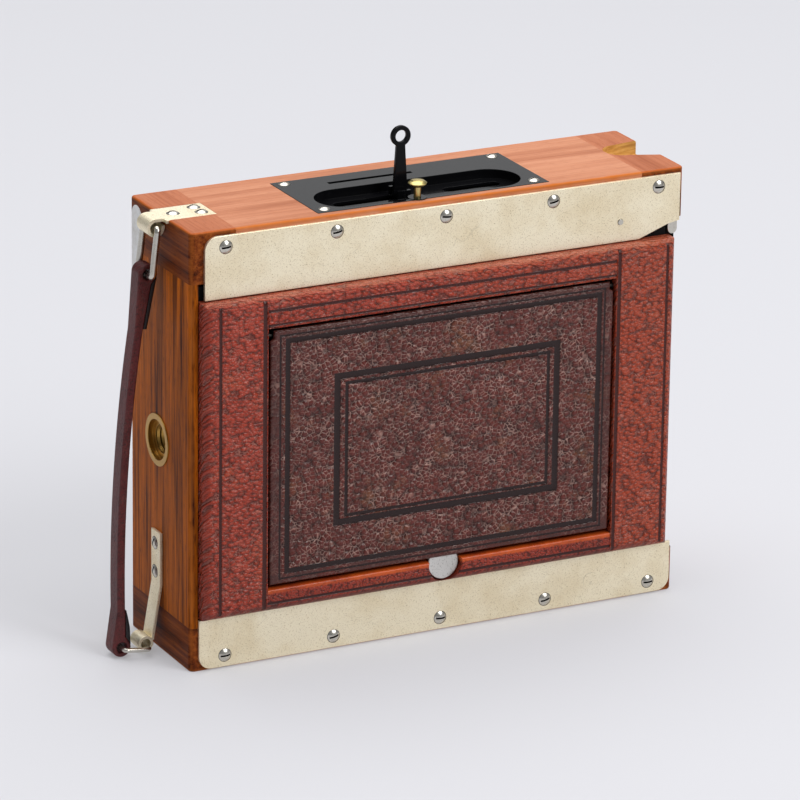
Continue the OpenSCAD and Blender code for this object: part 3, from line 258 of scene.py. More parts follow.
def leather(name, base, second, patch, pebble, relief, gloss, bands=(), right_tint=None, wax=None):
    """Goat leather, dyed and pebble-grained: domed pebbles that catch the light, dark creases, rubbed and bare bands.
    Pebble is their size in mm along each axis. A band is an axis, where it starts and ends in mm, its colour, and how
    strongly it is coloured and how flat it is rubbed. Wax is the colour of old polish in the creases and its strength.
    """
    material, tree, shader, spot = new_material(name, {"Specular IOR Level": 0.34})
    axes = add_node(tree, "SeparateXYZ", {0: spot}).outputs
    wobble = add_node(tree, "TexNoise", {"Vector": spot, "Scale": 1 / (3 * MM), "Detail": 2.0})
    push = add_node(tree, "VectorMath", {0: wobble.outputs["Color"], 1: (1.4 * MM, 0.0, 1.4 * MM)},
                    operation="MULTIPLY")
    warped = add_node(tree, "VectorMath", {0: spot, 1: push.outputs[0]}, operation="ADD")
    # the depth slants into both other axes, so the pebbles go round the edges without streaks
    apart = add_node(tree, "SeparateXYZ", {0: warped.outputs[0]}).outputs
    across, up = (add_node(tree, "Math", {0: apart[i], 1: apart[1]}, operation="ADD").outputs[0] for i in (0, 2))
    unrolled = add_node(tree, "CombineXYZ", {0: across, 2: up})
    placed = add_node(tree, "Mapping", {"Vector": unrolled.outputs[0], "Scale": per_mm(*pebble)})
    cells = add_node(tree, "TexVoronoi", {"Vector": placed.outputs[0], "Scale": 1.0, "Randomness": 0.9})
    squared = add_node(tree, "Math", {0: cells.outputs["Distance"], 1: 2.0}, operation="POWER")
    dome = add_node(tree, "MapRange", {0: squared.outputs[0], 1: 0.01, 2: 0.72, 3: 1.0, 4: 0.0})
    fine = add_node(tree, "TexNoise", {"Vector": spot, "Scale": 1 / (0.45 * MM), "Detail": 3.0})
    height = add_node(tree, "Mix", {0: 0.14, 2: dome.outputs[0], 3: fine.outputs[0]}).outputs[0]
    broad = add_node(tree, "TexNoise", {"Vector": spot, "Scale": 1 / (24 * MM), "Detail": 5.0, "Roughness": 0.6})
    colour = add_node(tree, "ValToRGB", {0: broad.outputs[0]}, stops=[(0.38, base), (0.62, second)]).outputs[0]
    if right_tint:
        # the dye drifts to the tint from a little left of the middle to near the right end
        side = add_node(tree, "MapRange", {0: axes[0], 1: -20 * MM, 2: 75 * MM, 3: 0.0, 4: 0.7})
        colour = add_node(tree, "Mix", {0: side.outputs[0], 6: colour, 7: right_tint}, data_type="RGBA").outputs[2]
    spots = add_node(tree, "TexNoise", {"Vector": spot, "Scale": 1 / (15 * MM), "Detail": 8.0, "Roughness": 0.7})
    rubbed = add_node(tree, "ValToRGB", {0: spots.outputs[0]}, stops=[(0.55, grey(0)), (0.72, grey(0.6))])
    colour = add_node(tree, "Mix", {0: rubbed.outputs[0], 6: colour, 7: patch}, data_type="RGBA").outputs[2]
    # painted shade: the colour darkens toward the pebble borders, where the creases lie in shade
    crease_shade = add_node(tree, "ValToRGB", {0: dome.outputs[0]},
                      stops=[(0.1, grey(0.85)), (0.5, grey(0.35)), (0.8, grey(0.0))])
    colour = add_node(tree, "Mix", {0: crease_shade.outputs[0], 6: colour, 7: shade(base, 0.22)},
                      data_type="RGBA").outputs[2]
    if wax:
        # a network of light lines along the pebble borders: old polish on some leathers, a painted highlight on the
        # frame leather
        wax_and_highlight_colour, strength = wax
        borders = add_node(tree, "TexVoronoi", {"Vector": placed.outputs[0], "Scale": 1.0, "Randomness": 0.9},
                           feature="DISTANCE_TO_EDGE")
        line = add_node(tree, "MapRange", {0: borders.outputs["Distance"], 1: 0.01, 2: 0.075, 3: 1.0, 4: 0.0})
        drift = add_node(tree, "TexNoise", {"Vector": spot, "Scale": 1 / (9 * MM), "Detail": 6.0, "Roughness": 0.7})
        patches = add_node(tree, "MapRange", {0: drift.outputs[0], 1: 0.4, 2: 0.6, 3: strength * 0.15, 4: strength})
        mask = add_node(tree, "Math", {0: line.outputs[0], 1: patches.outputs[0]}, operation="MULTIPLY").outputs[0]
        colour = add_node(tree, "Mix", {0: mask, 6: colour, 7: wax_and_highlight_colour}, data_type="RGBA").outputs[2]
    flat = 0.0
    soft = 0.35  # half the width in mm of a band's soft edges
    for axis, low, high, band_colour, amount, smoothness in bands:
        rise = add_node(tree, "MapRange", {0: axes[axis], 1: (low - soft) * MM, 2: (low + soft) * MM})
        fall = add_node(tree, "MapRange", {0: axes[axis], 1: (high - soft) * MM, 2: (high + soft) * MM,
                                           3: 1.0, 4: 0.0})
        inside = add_node(tree, "Math", {0: rise.outputs[0], 1: fall.outputs[0]}, operation="MULTIPLY").outputs[0]
        uneven = add_node(tree, "MapRange", {0: spots.outputs[0], 1: 0.38, 2: 0.56, 3: amount * 0.3, 4: amount})
        tint = add_node(tree, "Math", {0: inside, 1: uneven.outputs[0]}, operation="MULTIPLY").outputs[0]
        colour = add_node(tree, "Mix", {0: tint, 6: colour, 7: band_colour}, data_type="RGBA").outputs[2]
        part = add_node(tree, "Math", {0: inside, 1: smoothness}, operation="MULTIPLY").outputs[0]
        flat = add_node(tree, "Math", {0: part, 1: flat}, operation="MAXIMUM").outputs[0]
    # tooled lines are dark and have no pebbles
    tooled = add_node(tree, "Attribute", attribute_name="tooled").outputs["Fac"]
    colour = add_node(tree, "Mix", {0: tooled, 6: colour, 7: shade(base, 0.15)}, data_type="RGBA").outputs[2]
    flat = add_node(tree, "Math", {0: tooled, 1: flat}, operation="MAXIMUM").outputs[0]
    height = add_node(tree, "Mix", {0: flat, 2: height, 3: 0.6}).outputs[0]
    bump = add_node(tree, "Bump", {"Strength": 1.0, "Distance": relief, "Height": height})
    sheen = add_node(tree, "MapRange", {0: fine.outputs[0], 3: gloss - 0.06, 4: gloss + 0.16})
    feed(tree, shader, colour, sheen.outputs[0], bump.outputs[0])
    return material


def metal(name, base, tarnish, roughness, speck, scratch, hairlines=0.0):
    """Plated or polished metal with age: tarnished specks, clouds of dulling, fine scratches and a few hairlines."""
    material, tree, shader, spot = new_material(name, {"Metallic": 1.0})
    clouds = add_node(tree, "TexNoise", {"Vector": spot, "Scale": 1 / (18 * MM), "Detail": 6.0, "Roughness": 0.6})
    cloud = add_node(tree, "ValToRGB", {0: clouds.outputs[0]}, stops=[(0.45, grey(0)), (0.8, grey(0.36))])
    colour = add_node(tree, "Mix", {0: cloud.outputs[0], 6: base, 7: tarnish}, data_type="RGBA").outputs[2]
    # two sorts of specks: their size in mm, how rare they are and how light
    for size, rarity, lightness in ((0.45, 0.60, 0.75), (0.22, 0.62, 0.6)):
        grit = add_node(tree, "TexNoise", {"Vector": spot, "Scale": 1 / (size * MM), "Detail": 2.0})
        specks = add_node(tree, "ValToRGB", {0: grit.outputs[0]},
                          stops=[(rarity, grey(0)), (rarity + 0.08, grey(speck))])
        colour = add_node(tree, "Mix", {0: specks.outputs[0], 6: colour, 7: shade(tarnish, lightness)},
                          data_type="RGBA").outputs[2]
    if hairlines:
        # a hairline runs where a wandering noise crosses its middle value, and is kept in sparse places only
        wander = add_node(tree, "TexNoise", {"Vector": spot, "Scale": 1 / (16 * MM), "Detail": 2.0})
        offset = add_node(tree, "Math", {0: wander.outputs[0], 1: 0.5}, operation="SUBTRACT")
        close = add_node(tree, "Math", {0: offset.outputs[0]}, operation="ABSOLUTE")
        hair = add_node(tree, "MapRange", {0: close.outputs[0], 1: 0.0, 2: 0.004, 3: hairlines, 4: 0.0})
        sparse = add_node(tree, "TexNoise", {"Vector": spot, "Scale": 1 / (7 * MM), "Detail": 3.0})
        here = add_node(tree, "ValToRGB", {0: sparse.outputs[0]}, stops=[(0.5, grey(0)), (0.6, grey(1))])
        mask = add_node(tree, "Math", {0: hair.outputs[0], 1: here.outputs[0]}, operation="MULTIPLY")
        colour = add_node(tree, "Mix", {0: mask.outputs[0], 6: colour, 7: shade(tarnish, 0.35)},
                          data_type="RGBA").outputs[2]
    brushed = add_node(tree, "Mapping", {"Vector": spot, "Scale": per_mm(14, 0.25, 0.25)})
    fine = add_node(tree, "TexNoise", {"Vector": brushed.outputs[0], "Scale": 1.0, "Detail": 2.0})
    dull = add_node(tree, "MapRange", {0: clouds.outputs[0], 3: roughness * 0.85, 4: roughness * 1.25})
    bump = add_node(tree, "Bump", {"Strength": scratch, "Distance": 0.02 * MM, "Height": fine.outputs[0]})
    feed(tree, shader, colour, dull.outputs[0], bump.outputs[0])
    return material


def lacquer(name, base, roughness, coat):
    """Stoved lacquer or enamel on metal: an even gloss with dust, rubbed spots and slight orange peel."""
    material, tree, shader, spot = new_material(name, {
        "Coat Weight": coat, "Coat Roughness": 0.06, "Specular IOR Level": 0.04, "Coat IOR": 1.2})
    dust = add_node(tree, "TexNoise", {"Vector": spot, "Scale": 1 / (1.4 * MM), "Detail": 6.0, "Roughness": 0.7})
    rub = add_node(tree, "ValToRGB", {0: dust.outputs[0]}, stops=[(0.62, base), (0.8, shade(base, 5.0))])
    peel = add_node(tree, "TexNoise", {"Vector": spot, "Scale": 1 / (3 * MM), "Detail": 2.0})
    dull = add_node(tree, "MapRange", {0: dust.outputs[0], 3: roughness * 0.7, 4: roughness * 1.5})
    bump = add_node(tree, "Bump", {"Strength": 0.3, "Distance": 0.02 * MM, "Height": peel.outputs[0]})
    feed(tree, shader, rub.outputs[0], dull.outputs[0], bump.outputs[0])
    return material


def woven(name, base, thread):
    """Rubbered cloth of the curtain: a fine plain weave under a thin dull rubber skin. Thread is its spacing in mm."""
    material, tree, shader, spot = new_material(name, {"Roughness": 0.7})
    placed = add_node(tree, "Mapping", {"Vector": spot, "Scale": per_mm(thread, thread, thread)})
    warp = add_node(tree, "TexWave", {"Vector": placed.outputs[0], "Scale": 0.32}, bands_direction="X")
    weft = add_node(tree, "TexWave", {"Vector": placed.outputs[0], "Scale": 0.32}, bands_direction="Z")
    cross = add_node(tree, "Math", {0: warp.outputs["Fac"], 1: weft.outputs["Fac"]}, operation="MULTIPLY")
    tone = add_node(tree, "ValToRGB", {0: cross.outputs[0]}, stops=[(0.0, shade(base, 0.6)), (1.0, shade(base, 1.4))])
    bump = add_node(tree, "Bump", {"Strength": 0.5, "Distance": 0.05 * MM, "Height": cross.outputs[0]})
    feed(tree, shader, tone.outputs[0], relief=bump.outputs[0])
    return material


def clear_glass(name, tint, roughness, frost):
    """Optical glass, or glass ground on one face, which scatters light."""
    material, tree, shader, spot = new_material(name, {
        "Base Color": tint, "Roughness": roughness, "IOR": 1.52, "Transmission Weight": 1.0})
    haze = add_node(tree, "TexNoise", {"Vector": spot, "Scale": 1 / (0.3 * MM), "Detail": 2.0})
    bump = add_node(tree, "Bump", {"Strength": frost, "Distance": 0.02 * MM, "Height": haze.outputs[0]})
    feed(tree, shader, relief=bump.outputs[0])
    return material


def old_paper(name):
    """Old paper label, blank: matt off-white with faint yellowing and fibre."""
    material, tree, shader, spot = new_material(name, {"Roughness": 0.75, "Specular IOR Level": 0.2})
    fibre = add_node(tree, "TexNoise", {"Vector": spot, "Scale": 1 / (4 * MM), "Detail": 8.0, "Roughness": 0.7})
    tone = add_node(tree, "ValToRGB", {0: fibre.outputs[0]},
                    stops=[(0.3, linear("#dedbd4")), (0.6, linear("#f6f6f6"))])
    bump = add_node(tree, "Bump", {"Strength": 0.3, "Distance": 0.03 * MM, "Height": fibre.outputs[0]})
    feed(tree, shader, tone.outputs[0], relief=bump.outputs[0])
    return material


def recipes():
    """How each finish is made: the function that makes its material, and what it is given."""
    c = colours()
    light, dark, red, plum, strap = (
        tuple(colour) for colour in (c.teak, c.teak_dark, c.frame_leather, c.lid_leather, c.strap_leather))
    orange, frame_patch = linear("#c8701c"), linear("#a04a26")
    frame_foot, lid_rim = linear("#4a1d18"), linear("#44231f")
    frame_low, frame_top = (corner.z for corner in box_mm("back_stile_left"))
    (lid_left, _, lid_low), (lid_right, _, lid_high) = box_mm("lid_leather")
    return {
        # teak with its grain across the camera, pinkish and light as painted sheen of the lit top, and orange along
        # its edges, partly wear and partly painted highlight
        "teak_across": dict(
            make=teak, along=0, tones=(linear("#a8684a"), linear("#bf7e5e"), linear("#ca8c6c")), band=6.0,
            worn_colour=linear("#c4660c"), wear=1.0),
        # teak with its grain upright, golden with near-black lines, still under its varnish, and darker than the top
        # as painted shade of the less lit sides
        "teak_upright": dict(
            make=teak, along=2, tones=(linear("#3c1405"), shade(light, 0.6), light), band=3.2,
            worn_colour=linear("#b9692c")),
        # end grain of the corner blocks, which drinks the oil and goes dark
        "teak_block": dict(
            make=teak, along=1, tones=(shade(dark, 0.55), linear("#6c3010"), linear("#8f4a1c")), band=3.6,
            worn_colour=linear("#a85a20")),
        # the same blocks on top, with the painted sheen that makes them as light as the lit board beside them
        "teak_block_top": dict(
            make=teak, along=1, tones=(linear("#9a5536"), linear("#b06a4a"), linear("#b97453")), band=6.0,
            worn_colour=linear("#b4581a"), wear=1.0),
        # fresh-cut teak without varnish, pale and matt
        "bare_teak": dict(
            make=teak, along=0, tones=(linear("#b07c3c"), linear("#cf9c52"), linear("#dcae68")), band=4.0,
            worn_colour=orange, wear=0.0),
        # the lens board's wood, varnished and never rubbed
        "board_wood": dict(
            make=teak, along=0, tones=(dark, linear("#8a4a22"), linear("#a86232")), band=5.0,
            worn_colour=orange, wear=0.0),
        # red-brown goat leather with coarse pebbles, rubbed pale along its top and dark at its foot; its light network
        # is a painted highlight on the pebbles
        "frame_leather": dict(
            make=leather, base=red, second=shade(red, 1.2), patch=frame_patch, pebble=(1.8, 8.0, 1.15),
            relief=1.0 * MM, gloss=0.23, right_tint=linear("#9c3a18"), wax=(linear("#d08a78"), 0.4),
            bands=[(2, frame_top - 1.0, frame_top + 1, linear("#b5654a"), 0.5, 0.4),
                   (2, frame_low - 1, frame_low + 2.6, frame_foot, 0.7, 0.75)]),
        # the same leather stretched smoother over the bottom rail, bare and orange under the lid
        "rail_leather": dict(
            make=leather, base=shade(red, 0.75), second=red, patch=frame_patch, pebble=(0.9, 8.0, 0.7),
            relief=0.4 * MM, gloss=0.3,
            bands=[(2, lid_low - 2.5, lid_low + 2, linear("#c8561c"), 0.85, 0.9),
                   (2, frame_low - 1, frame_low + 2.2, frame_foot, 0.7, 0.75)]),
        # plum-brown goat leather with coarse pebbles, rubbed flat along all four edges
        "lid_leather": dict(
            make=leather, base=plum, second=shade(plum, 1.3), patch=linear("#7d5230"), pebble=(1.8, 8.0, 1.6),
            relief=0.9 * MM, gloss=0.24, wax=(linear("#e0b4a4"), 0.42),
            bands=[(2, lid_low - 1, lid_low + 3.6, lid_rim, 0.8, 0.85),
                   (2, lid_high - 3, lid_high + 1, lid_rim, 0.7, 0.6),
                   (0, lid_left - 2, lid_left + 3, lid_rim, 0.7, 0.6),
                   (0, lid_right - 3, lid_right + 2, lid_rim, 0.7, 0.6)]),
        # fine-grained strap leather, smooth from the hand
        "strap_leather": dict(
            make=leather, base=strap, second=shade(strap, 1.35), patch=linear("#7a3c34"), pebble=(0.5, 0.55, 0.5),
            relief=0.14 * MM, gloss=0.4, wax=(linear("#8c5650"), 0.5)),
        # thin black leather under the strap, nearly smooth
        "lining_leather": dict(
            make=leather, base=linear("#171415"), second=linear("#201c1d"), patch=linear("#332b2a"),
            pebble=(0.6, 0.6, 0.6), relief=0.05 * MM, gloss=0.3),
        # thin split leather of the bellows, brown and matt
        "bellows_leather": dict(
            make=leather, base=linear("#5c3220"), second=linear("#6d3f28"), patch=linear("#8a5c3c"),
            pebble=(0.8, 0.8, 0.8), relief=0.06 * MM, gloss=0.5),
        # German silver, cast and brushed: yellowish white and satin, with the most specks
        "german_silver": dict(
            make=metal, base=tuple(c.silver), tarnish=linear("#bf9f5c"), roughness=0.52, speck=0.6, scratch=0.25,
            hairlines=0.2),
        # polished nickel plate, bright and slightly warm
        "nickel": dict(
            make=metal, base=tuple(c.nickel), tarnish=linear("#9c9482"), roughness=0.26, speck=0.3, scratch=0.2),
        # satin nickel, brushed and worn, with long scratches
        "satin_nickel": dict(
            make=metal, base=linear("#dcdad6"), tarnish=linear("#8f8b84"), roughness=0.42, speck=0.6, scratch=0.5,
            hairlines=0.7),
        # turned brass, browned by handling
        "brass": dict(
            make=metal, base=tuple(c.brass), tarnish=linear("#7a5a2c"), roughness=0.3, speck=0.3, scratch=0.3),
        # pale brass of the button, polished by the finger
        "pale_brass": dict(
            make=metal, base=linear("#cdbb7a"), tarnish=linear("#8d7440"), roughness=0.3, speck=0.3, scratch=0.3),
        # blued steel, dark and oily
        "dark_steel": dict(
            make=metal, base=linear("#3d3b38"), tarnish=linear("#201e1c"), roughness=0.45, speck=0.3, scratch=0.3),
        # stoved black lacquer, glossy
        "black_lacquer": dict(make=lacquer, base=tuple(c.lacquer), roughness=0.2, coat=0.6),
        # black enamel of the inner parts, dull so that it doesn't reflect into the picture
        "black_enamel": dict(make=lacquer, base=linear("#161617"), roughness=0.5, coat=0.1),
        # painted shade: matt black put into slots, pockets and bores, which keeps them deep
        "shadow_black": dict(make=lacquer, base=linear("#0a0908"), roughness=0.8, coat=0.0),
        # the weave is drawn coarser than the real one, so that it shows
        "curtain_cloth": dict(make=woven, base=linear("#1c1b1a"), thread=0.5),
        # polished optical glass
        "lens_glass": dict(make=clear_glass, tint=linear("#eef4f6"), roughness=0.02, frost=0.0),
        # glass ground on one face, milky
        "ground_glass": dict(make=clear_glass, tint=linear("#e3eae8"), roughness=0.5, frost=0.4),
        # uncoated paper
        "paper": dict(make=old_paper),
    }


finishes = {}


def finish(name):
    """A finish by name, made when it is first needed."""
    if name not in finishes:
        values = recipes()[name]
        finishes[name] = values.pop("make")(name, **values)
    return finishes[name]


# Modelling


def welded(node):
    """A copy of a node's mesh in millimetres, its loose triangles joined and its flat faces made whole."""
    bm = bmesh.new()
    bm.from_mesh(frame["nodes"][node].data)
    bmesh.ops.remove_doubles(bm, verts=bm.verts[:], dist=1e-6)
    bmesh.ops.transform(bm, matrix=TO_DESIGN, verts=bm.verts[:])
    bmesh.ops.dissolve_limit(bm, angle_limit=math.radians(0.4), verts=bm.verts[:], edges=bm.edges[:])
    return bm


def round_edges(bm, width, segments, wanted=None, angle=30):
    """Bevels the sharp edges, or those of them that wanted picks by their middle and direction."""
    sharp = [e for e in bm.edges if len(e.link_faces) == 2 and e.calc_face_angle(0) > math.radians(angle)]
    if wanted:
        sharp = [e for e in sharp if wanted((e.verts[0].co + e.verts[1].co) / 2, e.verts[1].co - e.verts[0].co)]
    if sharp:
        bmesh.ops.bevel(bm, geom=sharp, offset=width, offset_type="OFFSET", segments=segments, profile=0.5,
                        affect="EDGES", material=-1, clamp_overlap=False, loop_slide=True)


def cut_at(bm, axis, places):
    """Cuts the whole mesh with planes across an axis."""
    normal = Vector([1.0 if i == axis else 0.0 for i in range(3)])
    for place in places:
        bmesh.ops.bisect_plane(bm, geom=bm.verts[:] + bm.edges[:] + bm.faces[:], dist=1e-5,
                               plane_co=normal * place, plane_no=normal)


def piece(bm, name, body, material, replaces=(), smooth=32, others=()):
    """Turns a bmesh into a finished piece that rides on a body and stands for its nodes. Others are further finishes,
    which the faces pick by number. Two bodies, a start and an end make a piece that stretches between them."""
    for face in bm.faces:
        face.smooth = True
    for edge in bm.edges:
        edge.smooth = len(edge.link_faces) == 2 and edge.calc_face_angle(0) < math.radians(smooth)
    bmesh.ops.transform(bm, matrix=TO_FRAME, verts=bm.verts[:])
    mesh = bpy.data.meshes.new(name)
    bm.to_mesh(mesh)
    bm.free()
    for kind in (material, *others):
        mesh.materials.append(finish(kind))
    made = bpy.data.objects.new(name, mesh)
    bpy.context.scene.collection.objects.link(made)
    if isinstance(body, str):
        made.modifiers.new("even_faces", "WEIGHTED_NORMAL").keep_sharp = True
        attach(made, body)
    else:
        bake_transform(made)
    if replaces:
        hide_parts(*replaces)
    return made


def tinted(bm, number, wanted):
    """Gives the faces that wanted picks, by their middle and normal, another of the piece's finishes."""
    for face in bm.faces:
        if wanted(face.calc_center_median(), face.normal):
            face.material_index = number


def ring(bm, middle, axis, radius, depth):
    """A closed disc, as a short cylinder along an axis with its middle at a point."""
    made = bmesh.ops.create_cone(bm, cap_ends=True, segments=28, radius1=radius, radius2=radius, depth=depth)
    turn = {"X": Matrix.Rotation(math.pi / 2, 4, "Y"), "Y": Matrix.Rotation(-math.pi / 2, 4, "X"),
            "Z": Matrix.Identity(4)}[axis]
    bmesh.ops.transform(bm, matrix=Matrix.Translation(middle) @ turn, verts=made["verts"])


def dress(node, material, name, width=0.0, segments=2, wanted=None, angle=30):
    """A node's own shape in a new finish, with smooth curves, and with its edges rounded where a width is given."""
    bm = welded(node)
    if width:
        round_edges(bm, width, segments, wanted, angle)
    return piece(bm, name, frame["nodes"][node]["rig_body"], material, [node])


def paint(node, material):
    """Leaves a node as it is, in a new finish."""
    mesh = frame["nodes"][node].data
    mesh.materials.clear()
    mesh.materials.append(finish(material))


def islands(bm):
    """The separate shells of a mesh, as lists of vertices, in the order of the mesh, so that each run is the same."""
    found = set()
    for first in bm.verts[:]:
        shell, edge = [], [first]
        while edge:
            vert = edge.pop()
            if vert not in found:
                found.add(vert)
                shell.append(vert)
                edge += [e.other_vert(vert) for e in vert.link_edges]
        if shell:
            yield shell


# Case


def make_wood():
    """Rounds and finishes the teak boards and corner blocks."""
    half, depth, height = case_mm()
    pocket_low, pocket_high = box_mm("finder_plate")
    on_wall = 0.05                                # an edge or face this close to a wall lies on it
    corner, corner_cut = 3.0, 1.0                 # size of an upright corner, and how far its rounding lies inside
    pocket_top, pocket_floor = 0.9, 8             # depths below the top where the finder's pocket starts and ends
    notch_long, notch_back, notch_front = 17, 13, 34
    notch_floor, notch_top = 4.8, 0.8             # depths below the top
    recess_deep, recess_lip, rim = 6.2, 0.2, 2    # depths inside the right wall, and the case's rim that they spare

    def outer(middle, run):
        """Edges between the outer walls and the top or the bottom of the case."""
        level = min(abs(middle.z), abs(middle.z - height)) < on_wall and abs(run.z) < on_wall
        inward = min(half - abs(middle.x), depth / 2 - abs(middle.y - depth / 2))
        at_corner = abs(middle.x) > half - corner and abs(middle.y - depth / 2) > depth / 2 - corner
        return level and (inward < on_wall or (at_corner and inward < corner_cut))

    def in_pocket(middle, normal):
        """Walls and floors under the finder plate, blackened so that its slots look deep."""
        return (pocket_low.x - 1 < middle.x < pocket_high.x + 1 and pocket_low.y - 1 < middle.y < pocket_high.y + 1
                and height - pocket_floor < middle.z < height - pocket_top)

    def in_notch(middle, normal):
        """The finger notch beside the winding knob."""
        return (half - notch_long < middle.x < half - on_wall and notch_back < middle.y < notch_front
                and height - notch_floor < middle.z < height - notch_top)

    def in_recess(middle, normal):
        """The round walls of the recesses of the knobs."""
        return (half - recess_deep < middle.x < half - recess_lip and rim < middle.y < depth - rim
                and abs(middle.z) > recess_lip and middle.z < height - rim
                and abs(normal.y) + abs(normal.z) > 0.5 and not in_notch(middle, normal))

    def on_top(middle, normal):
        """The tops of the corner blocks and the rounding round them."""
        return normal.z > 0.5 and middle.z > height - 0.6

    cut_away = [("bare_teak", in_notch), ("shadow_black", in_recess)]
    for node, material, tints in (("top_panel", "teak_across", [("shadow_black", in_pocket)]),
                                  ("bottom_panel", "teak_across", []),
                                  ("left_panel", "teak_upright", []),
                                  ("right_panel", "teak_upright", cut_away),
                                  ("corner_blocks", "teak_block", cut_away + [("teak_block_top", on_top)])):
        bm = welded(node)
        round_edges(bm, sizes().wood_edge / MM, 3, outer)
        for number, (_, wanted) in enumerate(tints, 1):
            tinted(bm, number, wanted)
        piece(bm, node + "_wood", "case", material, [node], others=[kind for kind, _ in tints])


def make_plates():
    """Finishes the metal plates and strap tabs."""
    def outside(middle, run):
        """Edges round the outer face of a rear plate, without the shortest ones, which a bevel would spoil."""
        return middle.y < -0.9 and run.length > 0.3

    for node in ("rear_plate_top", "rear_plate_bottom"):
        dress(node, "german_silver", node + "_metal", sizes().plate_edge / MM, wanted=outside)
    for node in ("strap_tab_top", "strap_tab_bottom"):
        dress(node, "german_silver", node + "_metal", 0.15, angle=40)


def make_screws():
    """Turns each slotted screw a little, blackens its slot and sets a dark seat round its head."""
    half, _, height = case_mm()
    draw = random.Random(7)
    most_turn = 14                           # degrees to either side
    slot_reach, slot_deep = 0.93, 1.2        # share of the head's radius, and mm below its top
    slot_start = 0.2                         # faces higher than this are the head's top and bevel
    shadow_rim, shadow_thick = 0.14, 0.05
    plate, finder_plate = 1.0, 0.15          # how far the plates stand out of the wood
    shadow_place = {"rear_plate_screws": -plate, "finder_plate_screws": height + finder_plate}
    head_shadows = bmesh.new()
    for node in ("rear_plate_screws", "finder_plate_screws", "strap_tab_screws"):
        bm = welded(node)
        for shell in islands(bm):
            spans = [[pick(v.co[i] for v in shell) for pick in (min, max)] for i in range(3)]
            across = [high - low for low, high in spans]
            along = across.index(max(across))
            axis, radius = "XYZ"[along], sorted(across)[0] / 2
            outward = 1 if axis == "Z" else -1
            top = spans[along][1] if outward > 0 else spans[along][0]
            middle = Vector([(low + high) / 2 for low, high in spans])
            turn = Matrix.Rotation(math.radians(draw.uniform(-most_turn, most_turn)), 3, axis)
            bmesh.ops.rotate(bm, verts=shell, cent=middle, matrix=turn)
            for face in {f for v in shell for f in v.link_faces}:
                spot = face.calc_center_median()
                down = (top - spot[along]) * outward
                aside = spot - middle
                aside[along] = 0
                floor = abs(face.normal[along]) > 0.999 and down > slot_start
                in_slot = aside.length < radius * slot_reach and down < slot_deep
                # painted shade: the slot's walls and floor take the matt black finish
                if in_slot and (floor or abs(face.normal[along]) < 0.4):
                    face.material_index = 1
            # painted shadow round the head: a thin dark disc a little wider than the head, on the plate or wood
            shadow_spot = middle.copy()
            # the strap tabs' screws go through one tab into the top and through the other into the left side
            shadow_spot[along] = shadow_place.get(node, height if axis == "Z" else -half - plate)
            ring(head_shadows, shadow_spot, axis, radius + shadow_rim, shadow_thick)
        piece(bm, node + "_nickel", "case", "nickel", [node], others=("shadow_black",))
    # the discs of painted shadow, in the dark steel finish
    piece(head_shadows, "screw_head_shadows", "case", "dark_steel")


# Focusing back

LINE_SLOPE = 0.25  # width in mm of a pressed line's sloping sides


def tool_lines(bm, lines, on_face, into):
    """Presses lines into leather: each is a test of a place, and vertices in it sink along into and are marked."""
    mark = bm.verts.layers.float.new("tooled")
    for vert in bm.verts:
        if on_face(vert.co):
            depth = max([line(vert.co) for line in lines], default=0.0)
            if depth > 0:
                vert[mark] = 1.0
                vert.co += into * depth


def straight_line(axis, place, width, depth):
    """A pressed line at one place along an axis, and where to cut the mesh for it."""
    steps = (-width / 2 - LINE_SLOPE, -width / 2, 0, width / 2, width / 2 + LINE_SLOPE)
    return axis, [place + s for s in steps], lambda co: depth if abs(co[axis] - place) < width / 2 + 0.01 else 0.0


def framed_line(x0, z0, x1, z1, width, depth):
    """A pressed rectangular line, measured on its middle, and where to cut the mesh for it."""
    steps = (-width / 2 - LINE_SLOPE, -width / 2, width / 2, width / 2 + LINE_SLOPE)

    def inside(co):
        gap = max(abs(co.x - (x0 + x1) / 2) - (x1 - x0) / 2, abs(co.z - (z0 + z1) / 2) - (z1 - z0) / 2)
        return depth if abs(gap) < width / 2 + 0.01 else 0.0

    return [x + s for x in (x0, x1) for s in steps], [z + s for z in (z0, z1) for s in steps], inside


def make_leather_frame():
    """Folds and tools the leather of the focusing back."""
    s = sizes()
    width, depth = s.groove_width / MM, s.groove_depth / MM
    fold = s.leather_fold / MM
    turned_in = 1.4  # how far the leather goes round the right stile's end
    front = box_mm("back_stile_left")[0].y
    # the axis across a member's tooled lines, and each line's place along it and width
    for node, axis, places in (("back_stile_left", 0, ((-81.5, width), (-65.7, 1.2))),
                               ("back_stile_right", 0, ((63.9, 1.0), (82.0, width))),
                               ("back_rail_top", 2, ((122.0, width), (117.2, 0.6))),
                               ("back_rail_bottom", 2, ((21.6, width),))):
        bm = welded(node)
        if node == "back_stile_right":
            end = max(v.co.x for v in bm.verts)
            for vert in bm.verts:
                vert.co.x += turned_in if vert.co.x > end - 2 else 0.0
        round_edges(bm, fold, 3, lambda middle, run: middle.y < front + 0.01, 60)
        lines = [straight_line(axis, place, wide, depth) for place, wide in places]
        for line_axis, cuts, _ in lines:
            cut_at(bm, line_axis, cuts)
        tool_lines(bm, [test for _, _, test in lines], lambda co: co.y < front + 0.5, Vector((0, 1, 0)))
        material = "rail_leather" if node == "back_rail_bottom" else "frame_leather"
        piece(bm, node + "_leather", "back", material, [node])


